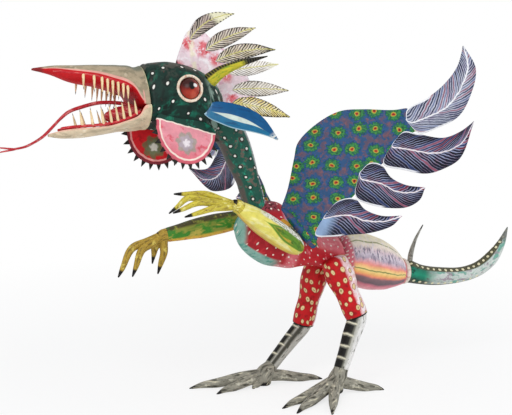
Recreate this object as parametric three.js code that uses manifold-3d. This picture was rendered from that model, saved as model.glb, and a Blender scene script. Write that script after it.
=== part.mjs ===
// Alebrije bird figure: papier-mâché over bent wire and rolled card, in millimetres.
// The bird looks towards -X, its left side is -Y and it stands on z = 0.
// Every solid is made in the bird's own frame; the head and the wings sit in turned groups.

import * as THREE from 'three';
import { mergeVertices } from 'three/addons/utils/BufferGeometryUtils.js';
import Module from 'manifold-3d';

const wasm = await Module();
wasm.setup();

// Clearances and walls
const seatGap = 0.3; // between pieces that touch
const wireGap = 0.25; // round a wire in its bore
const cutOver = 30; // how far a cutting shape runs past what it cuts

// Body, from the chest back to the collar
const torso = {
  chestX: -29, axisHeight: 203, length: 141, drop: 47, halfWide: 31, halfTall: 35,
};
const abdomen = { length: 92, drop: 25, halfWide: 33, halfTall: 36.3 };
const collar = { length: 6, frontRadius: 16.5, rearRadius: 15 };
const tail = { length: 154.5, rise: 45, radius: 15.2 };
const rumpSpine = { setBack: 11.5, height: 41, lean: 19, radius: 3.4 };

// Neck and head; the head is rolled so that its left side is raised
const neck = { footBack: 33, footDrop: 5, reach: 70, rise: 158, radius: 17.8 };
const headPose = { forward: 34, lift: 6, rollDegrees: 14 };
const head = { length: 96, front: 43, halfWide: 35.5, halfTall: 42 };
const beak = {
  upperLength: 127, lowerLength: 115, baseHalfWide: 29, upperTall: 49.5, lowerTall: 24.8,
  topRise: 38, cornerDrop: 11, wall: 3, floor: 2.6, palate: 20,
};
const throat = { length: 54, radius: 20, drop: 7 };
const tooth = { length: 19, radius: 2.1, gumRadius: 1.9, splayShare: 0.15 };
const tongue = {
  rootX: -4, rootDrop: 9, reach: 195, drop: 42, radius: 2.7, tipRadius: 1.3, prong: 22, prongSpread: 3.6,
  heelStart: 54, heelLength: 46, heelDrop: 19, heelRadius: 12,
};
const eye = { x: 2, rise: 4, radius: 13, proud: 7.5, rimRadius: 13.6, rimTube: 2.6 };
const horn = { x: 31, out: 20, rise: 13, length: 73, climb: 26, flare: 14, radius: 9.5 };
const ear = {
  x: 17, out: 23.5, drop: 19, length: 95, width: 35, thickness: 3.2, cup: 4,
  yawDegrees: 23, dipDegrees: 23,
};
const wattle = {
  x: -3, out: 24, drop: 38, halfLength: 38, depth: 45, thickness: 2.6, seat: 14, cornerSeat: 2,
  tiltDegrees: 16, splayDegrees: 9, yawDegrees: 6, fringe: 7, fringeCount: 13,
  rightForward: 14, rightRise: 8.5,
};
const crest = { length: 143, height: 101, thickness: 3, featherWidth: 21, edge: 1.2, tip: 1.4 };

// Wings: one outline, posed twice; each root is given from the chest
const wing = { span: 220, height: 230, thickness: 3.4, edge: 1.5, tip: 1.6, rootRadius: 6.5 };
const leftWingPose = {
  back: 59, out: 26, rise: -8, cup: 10, yawDegrees: -30, tiltDegrees: 0, rollDegrees: -14,
};
const rightWingPose = {
  back: 57.6, out: 29.6, rise: 28.6, cup: 27.7, yawDegrees: 77, tiltDegrees: -28.7, rollDegrees: -23.3,
};

// Arms and hands: the shoulder is given from the chest, each further joint from the one before it
const leftArm = {
  shoulderBack: 41, shoulderOut: 22, shoulderRise: 9,
  elbowBack: 21, elbowOut: 21, elbowRise: -29,
  wristBack: -77, wristOut: 7, wristRise: 53,
  upperRadius: 13, foreRadius: 14.5, wristRadius: 8, fingerRadius: 4,
};
const rightArm = {
  shoulderBack: 41, shoulderOut: 20, shoulderRise: 4,
  elbowBack: -18, elbowOut: 8, elbowRise: 2,
  wristBack: -93, wristOut: 16, wristRise: -16,
  upperRadius: 13, foreRadius: 12.8, wristRadius: 8.6, fingerRadius: 5,
};
const hand = { reach: 90, palmRadius: 7.5, clawRadius: 0.9, clawLength: 13 };

// Legs and feet: joints follow on across the ground, heights are over it
const leftLeg = {
  hipFore: 17, hipOut: 20, hipRise: 3, kneeBack: 24.5, kneeOut: 17, kneeHeight: 88,
  ankleFore: 28, ankleOut: 11, ankleHeight: 27, footFore: 9.5, footOut: 4,
  thighRadius: 18.3, kneeRadius: 13.8, shankRadius: 12.2, ankleRadius: 9,
};
const rightLeg = {
  hipFore: 17, hipOut: 18, hipRise: -2, kneeBack: -16, kneeOut: 12, kneeHeight: 68,
  ankleFore: 49, ankleOut: -9, ankleHeight: 22, footFore: 12, footOut: -4,
  thighRadius: 17, kneeRadius: 13.4, shankRadius: 11, ankleRadius: 8.4,
};
const foot = { reach: 100, hubRadius: 11.5, toeRadius: 7.7, clawRadius: 1, pressed: 0.9 };

// Wires of the armature
const wire = { legRadius: 2, armRadius: 1.3, neckRadius: 2, tailRadius: 1.6, wingRadius: 1.5 };
const wireReach = { leg: 12, arm: 12, neck: 20, tail: 36 };

// Tables of shares: x, y, z along the piece's spans, then width, height above and below the axis
const torsoShares = [
  [0, 0, 0, 0.05, 0.05], [0.05, 0, 0.015, 0.43, 0.42, 0.6], [0.17, 0, 0.07, 0.8, 0.86, 1.01],
  [0.284, 0, 0.21, 0.95, 1.19, 1.09], [0.4, 0, 0.32, 1, 1.25, 1.04], [0.5, 0, 0.42, 0.98, 1.1, 0.99],
  [0.631, 0, 0.553, 0.84, 0.8, 0.77],
  [0.83, 0, 0.787, 0.68, 0.58], [1, 0, 1, 0.8, 0.76],
];
const abdomenShares = [
  [0, 0, 0, 0.78, 0.75], [0.185, 0, 0.13, 0.94, 0.94, 0.92], [0.41, 0, 0.34, 1, 1, 0.97],
  [0.663, 0, 0.58, 0.93, 0.92, 0.87], [0.85, 0, 0.78, 0.73, 0.74, 0.68], [1, 0, 1, 0.47, 0.46, 0.45],
];
const tailShares = [
  [0, 0, 0, 1, 1], [0.14, 0, -0.15, 0.86, 0.84], [0.34, 0, -0.26, 0.76, 0.76],
  [0.54, 0, -0.27, 0.68, 0.64], [0.7, 0, -0.17, 0.64, 0.62], [0.835, 0, 0.1, 0.6, 0.6],
  [0.935, 0, 0.52, 0.35, 0.38], [1, 0, 1, 0.06, 0.06],
];
const neckShares = [
  [0, 0, 0, 0.88, 0.88], [0.045, 0, 0.09, 0.83, 0.83], [0.095, 0, 0.2, 0.79, 0.79],
  [0.14, 0, 0.28, 0.79, 0.79], [0.21, 0, 0.39, 0.79, 0.79], [0.35, 0, 0.55, 0.96, 0.96],
  [0.493, 0, 0.706, 1.04, 1.04], [0.69, 0, 0.83, 1.07, 1.07], [0.924, 0, 0.98, 0.8, 0.8],
];
const headShares = [
  [0, 0, -0.26, 0.83, 1.2, 0.57], [0.16, 0, -0.14, 0.93, 1.12, 0.77], [0.34, 0, -0.05, 1, 1.04, 0.88],
  [0.55, 0, 0, 1, 0.88, 0.95], [0.74, 0, 0, 0.88, 0.7, 1.08], [0.89, 0, -0.05, 0.64, 0.48, 0.95],
  [1, 0, -0.12, 0.25, 0.19, 0.5],
];
// Beak halves: forward, lip height in the tall span, half width, height above and depth below
const upperBeakShares = [
  [1, 0.97, 0.05, 0.04, 0.03], [0.83, 0.97, 0.26, 0.08, 0.3], [0.66, 0.9, 0.42, 0.145, 0.7],
  [0.43, 0.78, 0.62, 0.26, 1], [0.31, 0.66, 0.72, 0.37, 0.95], [0.2, 0.54, 0.83, 0.47, 0.75],
  [0.13, 0.41, 0.9, 0.6, 0.45], [0.055, 0.12, 0.97, 0.88, 0.1], [0, 0, 1, 1, 0.02],
];
const lowerBeakShares = [
  [1, 1, 0.05, 0.12], [0.86, 0.89, 0.28, 0.34], [0.69, 0.86, 0.42, 0.38], [0.44, 0.86, 0.66, 0.26],
  [0.28, 0.7, 0.79, 0.32], [0.13, 0.5, 0.9, 0.52], [0.055, 0.14, 0.97, 0.92], [0, 0, 1, 1],
];
const tongueShares = [
  [0, 0, 0], [0.108, 0, 0], [0.22, 0, 0.05], [0.323, 0, -0.095], [0.467, 0, -0.143],
  [0.574, 0, -0.048], [0.656, 0, 0.07], [0.713, 0, 0.26], [0.77, 0, 0.5], [0.826, 0, 0.714],
  [0.882, 0, 0.857], [0.933, 0, 0.952], [1, 0, 1],
];
const hornShares = [
  [0, 0, 0, 1, 1], [0.22, 0.3, 0.42, 0.76, 0.76], [0.54, 0.6, 0.74, 0.46, 0.46],
  [0.8, 0.85, 0.9, 0.26, 0.26], [1, 1, 1, 0.07, 0.07],
];

// Leaf outlines, root to tip, as shares of a leaf's length and width
const leafUpperShares = [[0, 0], [0.1, 0.34], [0.35, 0.5], [0.68, 0.34], [1, 0]];
const leafLowerShares = [[0, 0], [0.12, -0.3], [0.42, -0.5], [0.74, -0.34], [1, 0]];
const earUpperShares = [
  [0, 0], [0.08, 0.26], [0.36, 0.45], [0.62, 0.53], [0.82, 0.44], [0.93, 0.22], [1, -0.18],
];
const earLowerShares = [
  [0, 0], [0.12, -0.26], [0.28, -0.34], [0.5, -0.32], [0.7, -0.2], [0.88, -0.18], [1, -0.18],
];

// Wing outlines, as shares of the wing's span and height
const wingLeadShares = [
  [-0.04, 0.14], [-0.005, 0.24], [0.027, 0.4], [0.045, 0.48], [0.14, 0.575], [0.27, 0.645],
  [0.4, 0.655], [0.56, 0.652], [0.64, 0.665],
];
const wingTrailShares = [
  [0.15, -0.06], [0.19, 0.06], [0.35, 0.2], [0.43, 0.3], [0.51, 0.376], [0.585, 0.43],
  [0.665, 0.535], [0.685, 0.545], [0.7, 0.555],
];
const wingFeatherShares = [
  {
    name: 'feather_1',
    upper: [[0.63, 0.6], [0.635, 0.655], [0.74, 0.715], [0.84, 0.8], [0.905, 0.89], [0.936, 0.996]],
    lower: [
      [0.63, 0.6], [0.7, 0.535], [0.81, 0.568], [0.915, 0.628], [0.98, 0.748], [1.004, 0.88],
      [0.936, 0.996],
    ],
  },
  {
    name: 'feather_2',
    upper: [[0.565, 0.485], [0.62, 0.54], [0.69, 0.53], [0.83, 0.512], [0.92, 0.546], [0.996, 0.602]],
    lower: [
      [0.565, 0.485], [0.51, 0.37], [0.62, 0.342], [0.745, 0.325], [0.84, 0.354], [0.925, 0.41],
      [0.996, 0.602],
    ],
  },
  {
    name: 'feather_3',
    upper: [[0.385, 0.325], [0.44, 0.375], [0.5, 0.366], [0.553, 0.301], [0.63, 0.264], [0.736, 0.252]],
    lower: [
      [0.385, 0.325], [0.365, 0.196], [0.46, 0.155], [0.555, 0.143], [0.645, 0.15], [0.71, 0.189],
      [0.736, 0.252],
    ],
  },
  {
    name: 'feather_4',
    upper: [[0.2, 0.1], [0.27, 0.175], [0.36, 0.19], [0.416, 0.134], [0.505, 0.102], [0.614, 0.104]],
    lower: [
      [0.2, 0.1], [0.15, -0.002], [0.24, -0.008], [0.34, 0.003], [0.45, 0.014], [0.565, 0.053],
      [0.614, 0.104],
    ],
  },
];

// Crest: base sheet and six feathers, as shares of the crest's length and height
const crestOuterShares = [
  [0.006, 0.38], [0.08, 0.6], [0.15, 0.77], [0.25, 0.79], [0.34, 0.67], [0.45, 0.55],
  [0.56, 0.42], [0.64, 0.2], [0.69, -0.02], [0.66, -0.22],
];
const crestInnerShares = [
  [0.03, 0.3], [0.1, 0.28], [0.17, 0.25], [0.23, 0.2], [0.28, 0.14], [0.33, 0.06],
  [0.37, -0.03], [0.41, -0.11], [0.44, -0.17], [0.48, -0.24],
];
const crestFeatherShares = [
  { root: [0.15, 0.66], tip: [0.575, 0.965], bend: 0.12, wideShare: 1.02 },
  { root: [0.28, 0.53], tip: [0.755, 0.79], bend: 0.055, wideShare: 1.05 },
  { root: [0.36, 0.4], tip: [0.916, 0.525], bend: 0.075, wideShare: 1.05 },
  { root: [0.44, 0.28], tip: [0.93, 0.348], bend: 0.01, wideShare: 1 },
  { root: [0.48, 0.06], tip: [1, 0.03], bend: 0.03, wideShare: 1.02 },
  { root: [0.46, -0.1], tip: [0.985, -0.285], bend: 0.05, wideShare: 1.12 },
];

// Toes and fingers: tips as shares of the foot's and the hand's reach
const leftToeShares = [
  { tip: [-0.87, -0.32], size: 1 }, { tip: [-0.8, -0.56], size: 1.08 }, { tip: [-0.45, -0.77], size: 0.96 },
  { tip: [0.6, -0.14], size: 0.98 },
];
const rightToeShares = [
  { tip: [-0.9, 0.22], size: 1 }, { tip: [-0.69, -0.14], size: 0.92 }, { tip: [-0.2, -0.12], size: 0.85 },
  { tip: [0.78, -0.08], size: 0.95 },
];
const leftFingerShares = [
  { knuckle: [-0.46, 0.03, 0.205], tip: [-0.88, 0.07, 0.225] },
  { knuckle: [-0.73, -0.04, 0.18], tip: [-0.99, -0.04, 0] },
  { knuckle: [-0.62, -0.13, 0.125], tip: [-0.98, -0.15, 0.02] },
  { knuckle: [-0.46, -0.2, 0.05], tip: [-0.86, -0.24, -0.025] },
];
const rightFingerShares = [
  { knuckle: [-0.47, 0.04, -0.15], tip: [-0.66, 0.06, -0.53] },
  { knuckle: [-0.36, -0.04, -0.17], tip: [-0.5, -0.05, -0.515] },
  { knuckle: [-0.12, 0.1, -0.18], tip: [-0.15, 0.13, -0.4] },
  { knuckle: [-0.03, 0, -0.23], tip: [-0.13, -0.02, -0.515] },
];

// Palms and fingers: places along them in palm radii, and radii along them
const palmPlaceShares = [-0.5, 0.5, 1.6];
const palmRadiusShare = 1.1;
const palmEndShare = 0.6;
const fingerRadiusShares = [1.3, 1.15, 1, 0.7];

// Finishes seen on the real figure
const paint = (color) => new THREE.MeshStandardMaterial({ color, roughness: 0.55, metalness: 0 });
const colours = {
  red: 0xb51f24, rose: 0xd77a86, green: 0x1f5a4a, beak: 0xa8967c, tongueRed: 0xa8323a,
  tooth: 0xd8c19a, iris: 0x6a1c18, cream: 0xdcc0b4, yellow: 0xc9b53c, earBlue: 0x1f5d92,
  pink: 0xd9808a, pale: 0xdccbd0, wingBlue: 0x2c4f8c, barb: 0x54516e, olive: 0xb3a53a,
  thigh: 0xb3202a, shank: 0x8d8c88, foot: 0x7d7a6c, tail: 0x1d5b50, wire: 0x6f7073, grey: 0x9b9a90,
};

// Frames: the figure, and turned groups for the head and the wings
const figure = new THREE.Group();
const vec = (x, y, z) => new THREE.Vector3(x, y, z);
const lateral = vec(0, 1, 0);
const vertical = vec(0, 0, 1);

function addFrame(x, y, z) {
  const frame = new THREE.Group();
  frame.position.set(x, y, z);
  figure.add(frame);
  return frame;
}

// Anchor points worked out from the body's sizes
const chest = vec(torso.chestX, 0, torso.axisHeight);
const rump = chest.clone().add(vec(torso.length, 0, -torso.drop));
const vent = rump.clone().add(vec(abdomen.length, 0, -abdomen.drop));
const neckFoot = chest.clone().add(vec(neck.footBack, 0, -neck.footDrop));
const neckTop = neckFoot.clone().add(vec(-neck.reach, 0, neck.rise));

const headFrame = addFrame(neckTop.x - headPose.forward, 0, neckTop.z + headPose.lift);
headFrame.rotation.x = THREE.MathUtils.degToRad(-headPose.rollDegrees);
headFrame.updateWorldMatrix(true, false);

// A wing's own axes: X out along the span, Y up the height, Z out of the sheet
function addWingFrame(side, pose) {
  const frame = addFrame(chest.x + pose.back, side * pose.out, chest.z + pose.rise);
  const [yaw, tilt, roll] = [pose.yawDegrees, pose.tiltDegrees, pose.rollDegrees]
    .map(THREE.MathUtils.degToRad);
  const out = vec(Math.cos(yaw) * Math.cos(tilt), Math.sin(yaw) * Math.cos(tilt), Math.sin(tilt));
  const face = vec(0, 0, 1).cross(out).normalize().negate();
  const up = face.clone().cross(out).applyAxisAngle(out, roll);
  frame.quaternion.setFromRotationMatrix(
    new THREE.Matrix4().makeBasis(out, up, out.clone().cross(up)),
  );
  frame.updateWorldMatrix(true, false);
  return frame;
}

// Closed solids and their booleans
function signedVolume(positions, index) {
  const [a, b, c] = [vec(0, 0, 0), vec(0, 0, 0), vec(0, 0, 0)];
  let sum = 0;
  for (let i = 0; i < index.length; i += 3) {
    a.fromArray(positions, 3 * index[i]);
    b.fromArray(positions, 3 * index[i + 1]);
    c.fromArray(positions, 3 * index[i + 2]);
    sum += a.dot(b.cross(c));
  }
  return sum;
}

function solidFrom(points, index, frame) {
  if (frame) points.forEach((point) => point.applyMatrix4(frame.matrixWorld));
  const positions = points.flatMap((point) => point.toArray());
  const faces = signedVolume(positions, index) < 0 ? index.slice().reverse() : index;
  return new wasm.Manifold(new wasm.Mesh({
    numProp: 3, vertProperties: new Float32Array(positions), triVerts: new Uint32Array(faces),
  }));
}

// A cut can leave crumbs beside a piece: only the shell with the most faces is kept
function mainShell(count, triVerts) {
  const parent = Array.from({ length: count }, (_, i) => i);
  const rootOf = (i) => {
    let at = i;
    while (parent[at] !== at) {
      parent[at] = parent[parent[at]];
      at = parent[at];
    }
    return at;
  };
  for (let i = 0; i < triVerts.length; i += 3) {
    parent[rootOf(triVerts[i])] = rootOf(triVerts[i + 1]);
    parent[rootOf(triVerts[i + 2])] = rootOf(triVerts[i + 1]);
  }
  const sizes = new Map();
  triVerts.forEach((vertex) => sizes.set(rootOf(vertex), (sizes.get(rootOf(vertex)) ?? 0) + 1));
  const [main] = [...sizes].reduce((best, entry) => (entry[1] > best[1] ? entry : best));
  return Array.from(triVerts).filter((vertex) => rootOf(vertex) === main);
}

function geometryOf(solid, frame) {
  const mesh = solid.getMesh();
  const kept = mainShell(mesh.vertProperties.length / 3, mesh.triVerts);
  const used = [...new Set(kept)];
  const slot = new Map(used.map((vertex, i) => [vertex, i]));
  const positions = used.flatMap((vertex) => (
    [0, 1, 2].map((axis) => mesh.vertProperties[3 * vertex + axis])
  ));
  const geometry = new THREE.BufferGeometry();
  geometry.setAttribute('position', new THREE.Float32BufferAttribute(positions, 3));
  geometry.setIndex(kept.map((vertex) => slot.get(vertex)));
  if (frame) geometry.applyMatrix4(frame.matrixWorld.clone().invert());
  geometry.computeVertexNormals();
  return geometry;
}

function addPiece(name, solid, colour, frame) {
  const mesh = new THREE.Mesh(geometryOf(solid, frame), paint(colour));
  mesh.name = name;
  (frame ?? figure).add(mesh);
}

const cut = (solid, ...cutters) => cutters.reduce((rest, cutter) => rest.subtract(cutter), solid);
const join = (solids) => solids.reduce((sum, solid) => sum.add(solid));

// A closed body round a smooth spine, with a half width, a height above and a depth below
function loft(stations, { rings, sides, across = lateral, upright = null, frame = null, grow = 0 }) {
  const spine = new THREE.CatmullRomCurve3(stations.map((s) => s.at), false, 'centripetal');
  const girth = new THREE.CatmullRomCurve3(
    stations.map((s) => vec(s.wide, s.above, s.below)), false, 'centripetal',
  );
  const points = [];
  for (let ring = 0; ring <= rings; ring += 1) {
    const share = ring / rings;
    const along = spine.getTangent(share);
    const centre = spine.getPoint(share);
    if (ring === 0) centre.addScaledVector(along, -grow);
    if (ring === rings) centre.addScaledVector(along, grow);
    const up = upright ?? along.clone().cross(across).normalize();
    const sideways = upright ? across : up.clone().cross(along).normalize();
    const half = girth.getPoint(share);
    for (let step = 0; step < sides; step += 1) {
      const angle = (2 * Math.PI * step) / sides;
      const rise = Math.sin(angle);
      const tall = rise > 0 ? half.y : half.z;
      points.push(centre.clone()
        .addScaledVector(sideways, Math.cos(angle) * (half.x + grow))
        .addScaledVector(up, rise * (tall + grow)));
    }
    if (ring === 0 || ring === rings) points.push(centre);
  }
  return solidFrom(points, tubeFaces(rings, sides), frame);
}

// Faces of a tube of rings whose first and last ring each carry a centre point
function tubeFaces(rings, sides) {
  const start = (ring) => (ring === 0 ? 0 : ring * sides + 1);
  const index = [];
  for (let step = 0; step < sides; step += 1) {
    const next = (step + 1) % sides;
    for (let ring = 0; ring < rings; ring += 1) {
      const [here, there] = [start(ring), start(ring + 1)];
      index.push(here + step, there + step, there + next, here + step, there + next, here + next);
    }
    index.push(sides, step, next);
    const last = start(rings);
    index.push(last + sides, last + next, last + step);
  }
  return index;
}

// Stations of a piece from its table of shares
function stationsOf(table, from, span, half) {
  return table.map(([x, y, z, wide, above, below = above]) => ({
    at: vec(from.x + span.x * x, from.y + span.y * y, from.z + span.z * z),
    wide: half.wide * wide,
    above: half.tall * above,
    below: half.tall * below,
  }));
}

// A limb through a few points with a radius at each
function limb(points, radii, options) {
  const stations = points.map((at, i) => ({ at, wide: radii[i], above: radii[i], below: radii[i] }));
  return loft(stations, options);
}

// A thin sheet between two edge curves, thicker along its middle, and cupped out of its plane
function sheet(upper, lower, {
  along, across, thickness, edge, tip, frame, cup = () => 0, grow = 0,
}) {
  const borders = [upper, lower].map((points) => new THREE.CatmullRomCurve3(
    points.map(([x, y]) => vec(x, y, 0)), false, 'centripetal',
  ));
  const rows = [];
  for (let i = 0; i <= along; i += 1) {
    rows.push(borders.map((border) => border.getPoint(i / along)));
  }
  const middles = rows.map(([a, b]) => a.clone().lerp(b, 0.5));
  const [front, back] = [[], []];
  rows.forEach(([a, b], i) => {
    const ahead = middles[Math.min(i + 1, along)].clone().sub(middles[Math.max(i - 1, 0)]).normalize();
    const [left, right] = rows[Math.min(Math.max(i, 1), along - 1)];
    const reach = left.clone().sub(right).normalize();
    const half = Math.max(a.distanceTo(b), tip) / 2 + grow;
    const centre = middles[i].clone();
    if (i === 0) centre.addScaledVector(ahead, -grow);
    if (i === along) centre.addScaledVector(ahead, grow);
    for (let j = 0; j <= across; j += 1) {
      const share = j / across;
      const point = centre.clone().addScaledVector(reach, half * (1 - 2 * share));
      const bulge = Math.sin(Math.PI * share) * Math.sin(Math.PI * (0.12 + 0.8 * (i / along)));
      const deep = (edge + (thickness - edge) * bulge) / 2 + grow;
      front.push(point.clone().setZ(cup(point) + deep));
      back.push(point.clone().setZ(cup(point) - deep));
    }
  });
  return solidFrom([...front, ...back], sheetFaces(along, across), frame);
}

function sheetFaces(along, across) {
  const width = across + 1;
  const size = width * (along + 1);
  const index = [];
  const quad = (a, b, c, d) => index.push(a, b, c, a, c, d);
  for (let i = 0; i < along; i += 1) {
    for (let j = 0; j < across; j += 1) {
      const at = i * width + j;
      quad(at, at + width, at + width + 1, at + 1);
      quad(size + at, size + at + 1, size + at + width + 1, size + at + width);
    }
    const [low, high] = [i * width, i * width + across];
    quad(low, size + low, size + low + width, low + width);
    quad(high, high + width, size + high + width, size + high);
  }
  for (let j = 0; j < across; j += 1) {
    const end = along * width + j;
    quad(j, j + 1, size + j + 1, size + j);
    quad(end, size + end, size + end + 1, end + 1);
  }
  return index;
}

// Torso, abdomen, collar, tail
const torsoStations = stationsOf(
  torsoShares, chest, vec(torso.length, 0, -torso.drop), { wide: torso.halfWide, tall: torso.halfTall },
);
const makeTorso = (grow) => loft(torsoStations, { rings: 10, sides: 13, upright: vertical, grow });
const abdomenStations = stationsOf(
  abdomenShares, rump.clone().add(vec(seatGap, 0, 0)), vec(abdomen.length, 0, -abdomen.drop),
  { wide: abdomen.halfWide, tall: abdomen.halfTall },
);
const makeAbdomen = (grow) => loft(abdomenStations, { rings: 7, sides: 14, upright: vertical, grow });

const collarStart = vent.clone().add(vec(2 * seatGap, 0, 0));
const collarEnd = collarStart.clone().add(vec(collar.length, 0, 0));
const makeCollar = (grow) => limb(
  [collarStart, collarStart.clone().lerp(collarEnd, 0.5), collarEnd],
  [collar.frontRadius, collar.frontRadius, collar.rearRadius], { rings: 3, sides: 16, grow },
);
const tailFoot = collarEnd.clone().sub(vec(seatGap, 0, 0));
const makeTail = (grow) => loft(
  stationsOf(tailShares, tailFoot, vec(tail.length, 0, tail.rise), { wide: tail.radius, tall: tail.radius }),
  { rings: 12, sides: 8, grow },
);

// Neck
const neckStations = stationsOf(
  neckShares, neckFoot, vec(-neck.reach, 0, neck.rise), { wide: neck.radius, tall: neck.radius },
);
const makeNeck = (grow) => loft(neckStations, { rings: 11, sides: 11, grow });

// Head, in its rolled frame
const headStations = stationsOf(
  headShares, vec(-head.front, 0, 0), vec(head.length, 0, head.halfTall),
  { wide: head.halfWide, tall: head.halfTall },
);
const makeHead = (grow) => loft(headStations, {
  rings: 9, sides: 15, upright: vertical, frame: headFrame, grow,
});

// Beak halves: both start at the head's front, and the mouth's corner lies on their seam
const beakBase = -head.front - seatGap;
const upperLift = beak.topRise + beak.cornerDrop;
const upperBeakStations = upperBeakShares.map(([forward, lip, wide, above, below]) => ({
  at: vec(beakBase - beak.upperLength * forward, 0, -beak.cornerDrop + upperLift * lip),
  wide: beak.baseHalfWide * wide,
  above: beak.upperTall * above,
  below: beak.palate * below,
}));
const lowerBeakStations = lowerBeakShares.map(([forward, fall, wide, deep]) => ({
  at: vec(
    beakBase - beak.lowerLength * forward, 0, -beak.cornerDrop - seatGap - beak.lowerTall * fall,
  ),
  wide: beak.baseHalfWide * wide,
  above: seatGap,
  below: beak.lowerTall * deep,
}));

const makeUpperBeak = (grow) => loft(upperBeakStations, {
  rings: 11, sides: 11, upright: vertical, frame: headFrame, grow,
});
const makeLowerBeak = (grow) => loft(lowerBeakStations, {
  rings: 11, sides: 11, upright: vertical, frame: headFrame, grow,
});

// The lower half is a trough: the hollow leaves the side walls and the floor standing
const hollowStations = lowerBeakStations.slice(0, -1).map(({ at, wide, below }) => ({
  at,
  wide: Math.max(wide - beak.wall, seatGap),
  above: cutOver,
  below: Math.max(below - beak.floor, seatGap),
}));
const lowerHollow = loft(hollowStations, {
  rings: 10, sides: 8, upright: vertical, frame: headFrame,
});

// The throat opens both halves and runs back into the head
const throatStart = vec(beakBase + throat.length * -0.42, 0, -throat.drop);
const throatCut = limb(
  [0, 0.3, 0.62, 0.88, 1].map((share) => throatStart.clone().add(vec(throat.length * share, 0, 0))),
  [0.5, 1, 0.96, 0.62, 0.1].map((share) => throat.radius * share),
  { rings: 6, sides: 10, frame: headFrame },
);

// Teeth: cones on a gum strip that follows the lip, one row for each side of each half
function toothRow({ stations, side, out, point, count, from, to }) {
  const lip = new THREE.CatmullRomCurve3(stations.map(({ at, wide }) => (
    vec(at.x, side * Math.max(wide + out, seatGap), at.z + point * tooth.gumRadius * 0.6)
  )), false, 'centripetal');
  const gumPoints = [0, 0.2, 0.4, 0.6, 0.8, 1].map((share) => lip.getPoint(from + (to - from) * share));
  const gum = limb(gumPoints, gumPoints.map(() => tooth.gumRadius), {
    rings: 4, sides: 3, frame: headFrame,
  });
  const cones = Array.from({ length: count }, (_, i) => {
    const share = i / (count - 1);
    const long = tooth.length * (0.72 + 0.28 * Math.sin(Math.PI * (0.15 + 0.7 * share)));
    const root = lip.getPoint(from + (to - from) * (0.03 + 0.94 * share));
    const tip = root.clone().add(vec(-long * 0.12, side * long * tooth.splayShare, point * long));
    return limb([root, tip], [tooth.radius, tooth.radius * 0.12], {
      rings: 1, sides: 3, across: vec(1, 0, 0), frame: headFrame,
    });
  });
  return join([gum, ...cones]);
}
const upperRow = { stations: upperBeakStations, out: tooth.gumRadius * 0.4, point: -1, from: 0.2, to: 0.68 };
const lowerRow = { stations: lowerBeakStations, out: -beak.wall / 2, point: 1, from: 0.22, to: 0.74 };
const lowerTrough = cut(makeLowerBeak(seatGap), lowerHollow);

// Tongue: paper over a wire that runs into the head, forked at its end
const tongueRoot = vec(tongue.rootX, 0, -tongue.rootDrop);
const tonguePoints = tongueShares.map(([x, y, z]) => (
  tongueRoot.clone().add(vec(-tongue.reach * x, tongue.reach * y, -tongue.drop * z))
));
const fork = tonguePoints[tonguePoints.length - 1];
function makeTongue(grow) {
  const radii = tonguePoints.map((_, i) => (
    tongue.radius + (tongue.tipRadius - tongue.radius) * (i / tonguePoints.length)
  ));
  const prongs = [-1, 1].map((way) => limb(
    [0, 0.5, 1].map((share) => fork.clone().add(vec(
      tongue.radius - (tongue.prong + tongue.radius) * share,
      way * tongue.prongSpread * share * 0.5,
      way * tongue.prongSpread * share,
    ))),
    [tongue.tipRadius, tongue.tipRadius * 0.8, tongue.tipRadius * 0.4],
    { rings: 3, sides: 5, frame: headFrame, grow },
  ));
  const heel = limb(
    [0, 0.3, 0.7, 1].map((share) => tongueRoot.clone().add(
      vec(-tongue.heelStart - tongue.heelLength * share, 0, tongue.rootDrop - tongue.heelDrop),
    )),
    [0.7, 1, 0.85, 0.35].map((share) => share * tongue.heelRadius),
    { rings: 4, sides: 8, frame: headFrame, grow },
  );
  return join([limb(tonguePoints, radii, { rings: 14, sides: 5, frame: headFrame, grow }), heel, ...prongs]);
}

// Closed three.js geometry as a solid, placed by a matrix and then by its frame
function solidOf(geometry, place, frame) {
  geometry.deleteAttribute('normal');
  geometry.deleteAttribute('uv');
  const merged = mergeVertices(geometry);
  const at = merged.getAttribute('position');
  const points = Array.from({ length: at.count }, (_, i) => (
    vec(0, 0, 0).fromBufferAttribute(at, i).applyMatrix4(place)
  ));
  return solidFrom(points, Array.from(merged.index.array), frame);
}

// Eyes: a ball sunk in its socket and a rolled paper rim round it
const eyeDepth = head.halfWide - eye.radius + eye.proud;
function makeEyeball(side, grow) {
  const place = new THREE.Matrix4().makeTranslation(eye.x, side * eyeDepth, eye.rise);
  return solidOf(new THREE.SphereGeometry(eye.radius + grow, 12, 6), place, headFrame);
}
function makeEyeRim(side) {
  const place = new THREE.Matrix4().makeTranslation(
    eye.x, side * (head.halfWide - eye.rimTube * 0.35), eye.rise,
  ).multiply(new THREE.Matrix4().makeRotationX(Math.PI / 2));
  return solidOf(new THREE.TorusGeometry(eye.rimRadius, eye.rimTube, 4, 10), place, headFrame);
}

// Horns sweep back from behind the eyes
const hornStations = (side) => stationsOf(
  hornShares, vec(horn.x, side * horn.out, horn.rise), vec(horn.length, side * horn.flare, horn.climb),
  { wide: horn.radius, tall: horn.radius },
);
const makeHorn = (side) => loft(hornStations(side), { rings: 6, sides: 7, frame: headFrame });

// A leaf-shaped sheet from a root to a tip in its frame's plane
function leaf(root, tip, width, { bend = 0, tables = [leafUpperShares, leafLowerShares], ...options }) {
  const axis = vec(tip[0] - root[0], tip[1] - root[1], 0);
  const sideways = vec(-axis.y, axis.x, 0).normalize();
  const [upper, lower] = tables.map((table) => table.map(([forward, out]) => {
    const bow = bend * axis.length() * Math.sin(Math.PI * forward);
    const point = vec(root[0], root[1], 0).addScaledVector(axis, forward);
    return point.addScaledVector(sideways, out * width + bow).toArray().slice(0, 2);
  }));
  return sheet(upper, lower, options);
}

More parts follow.
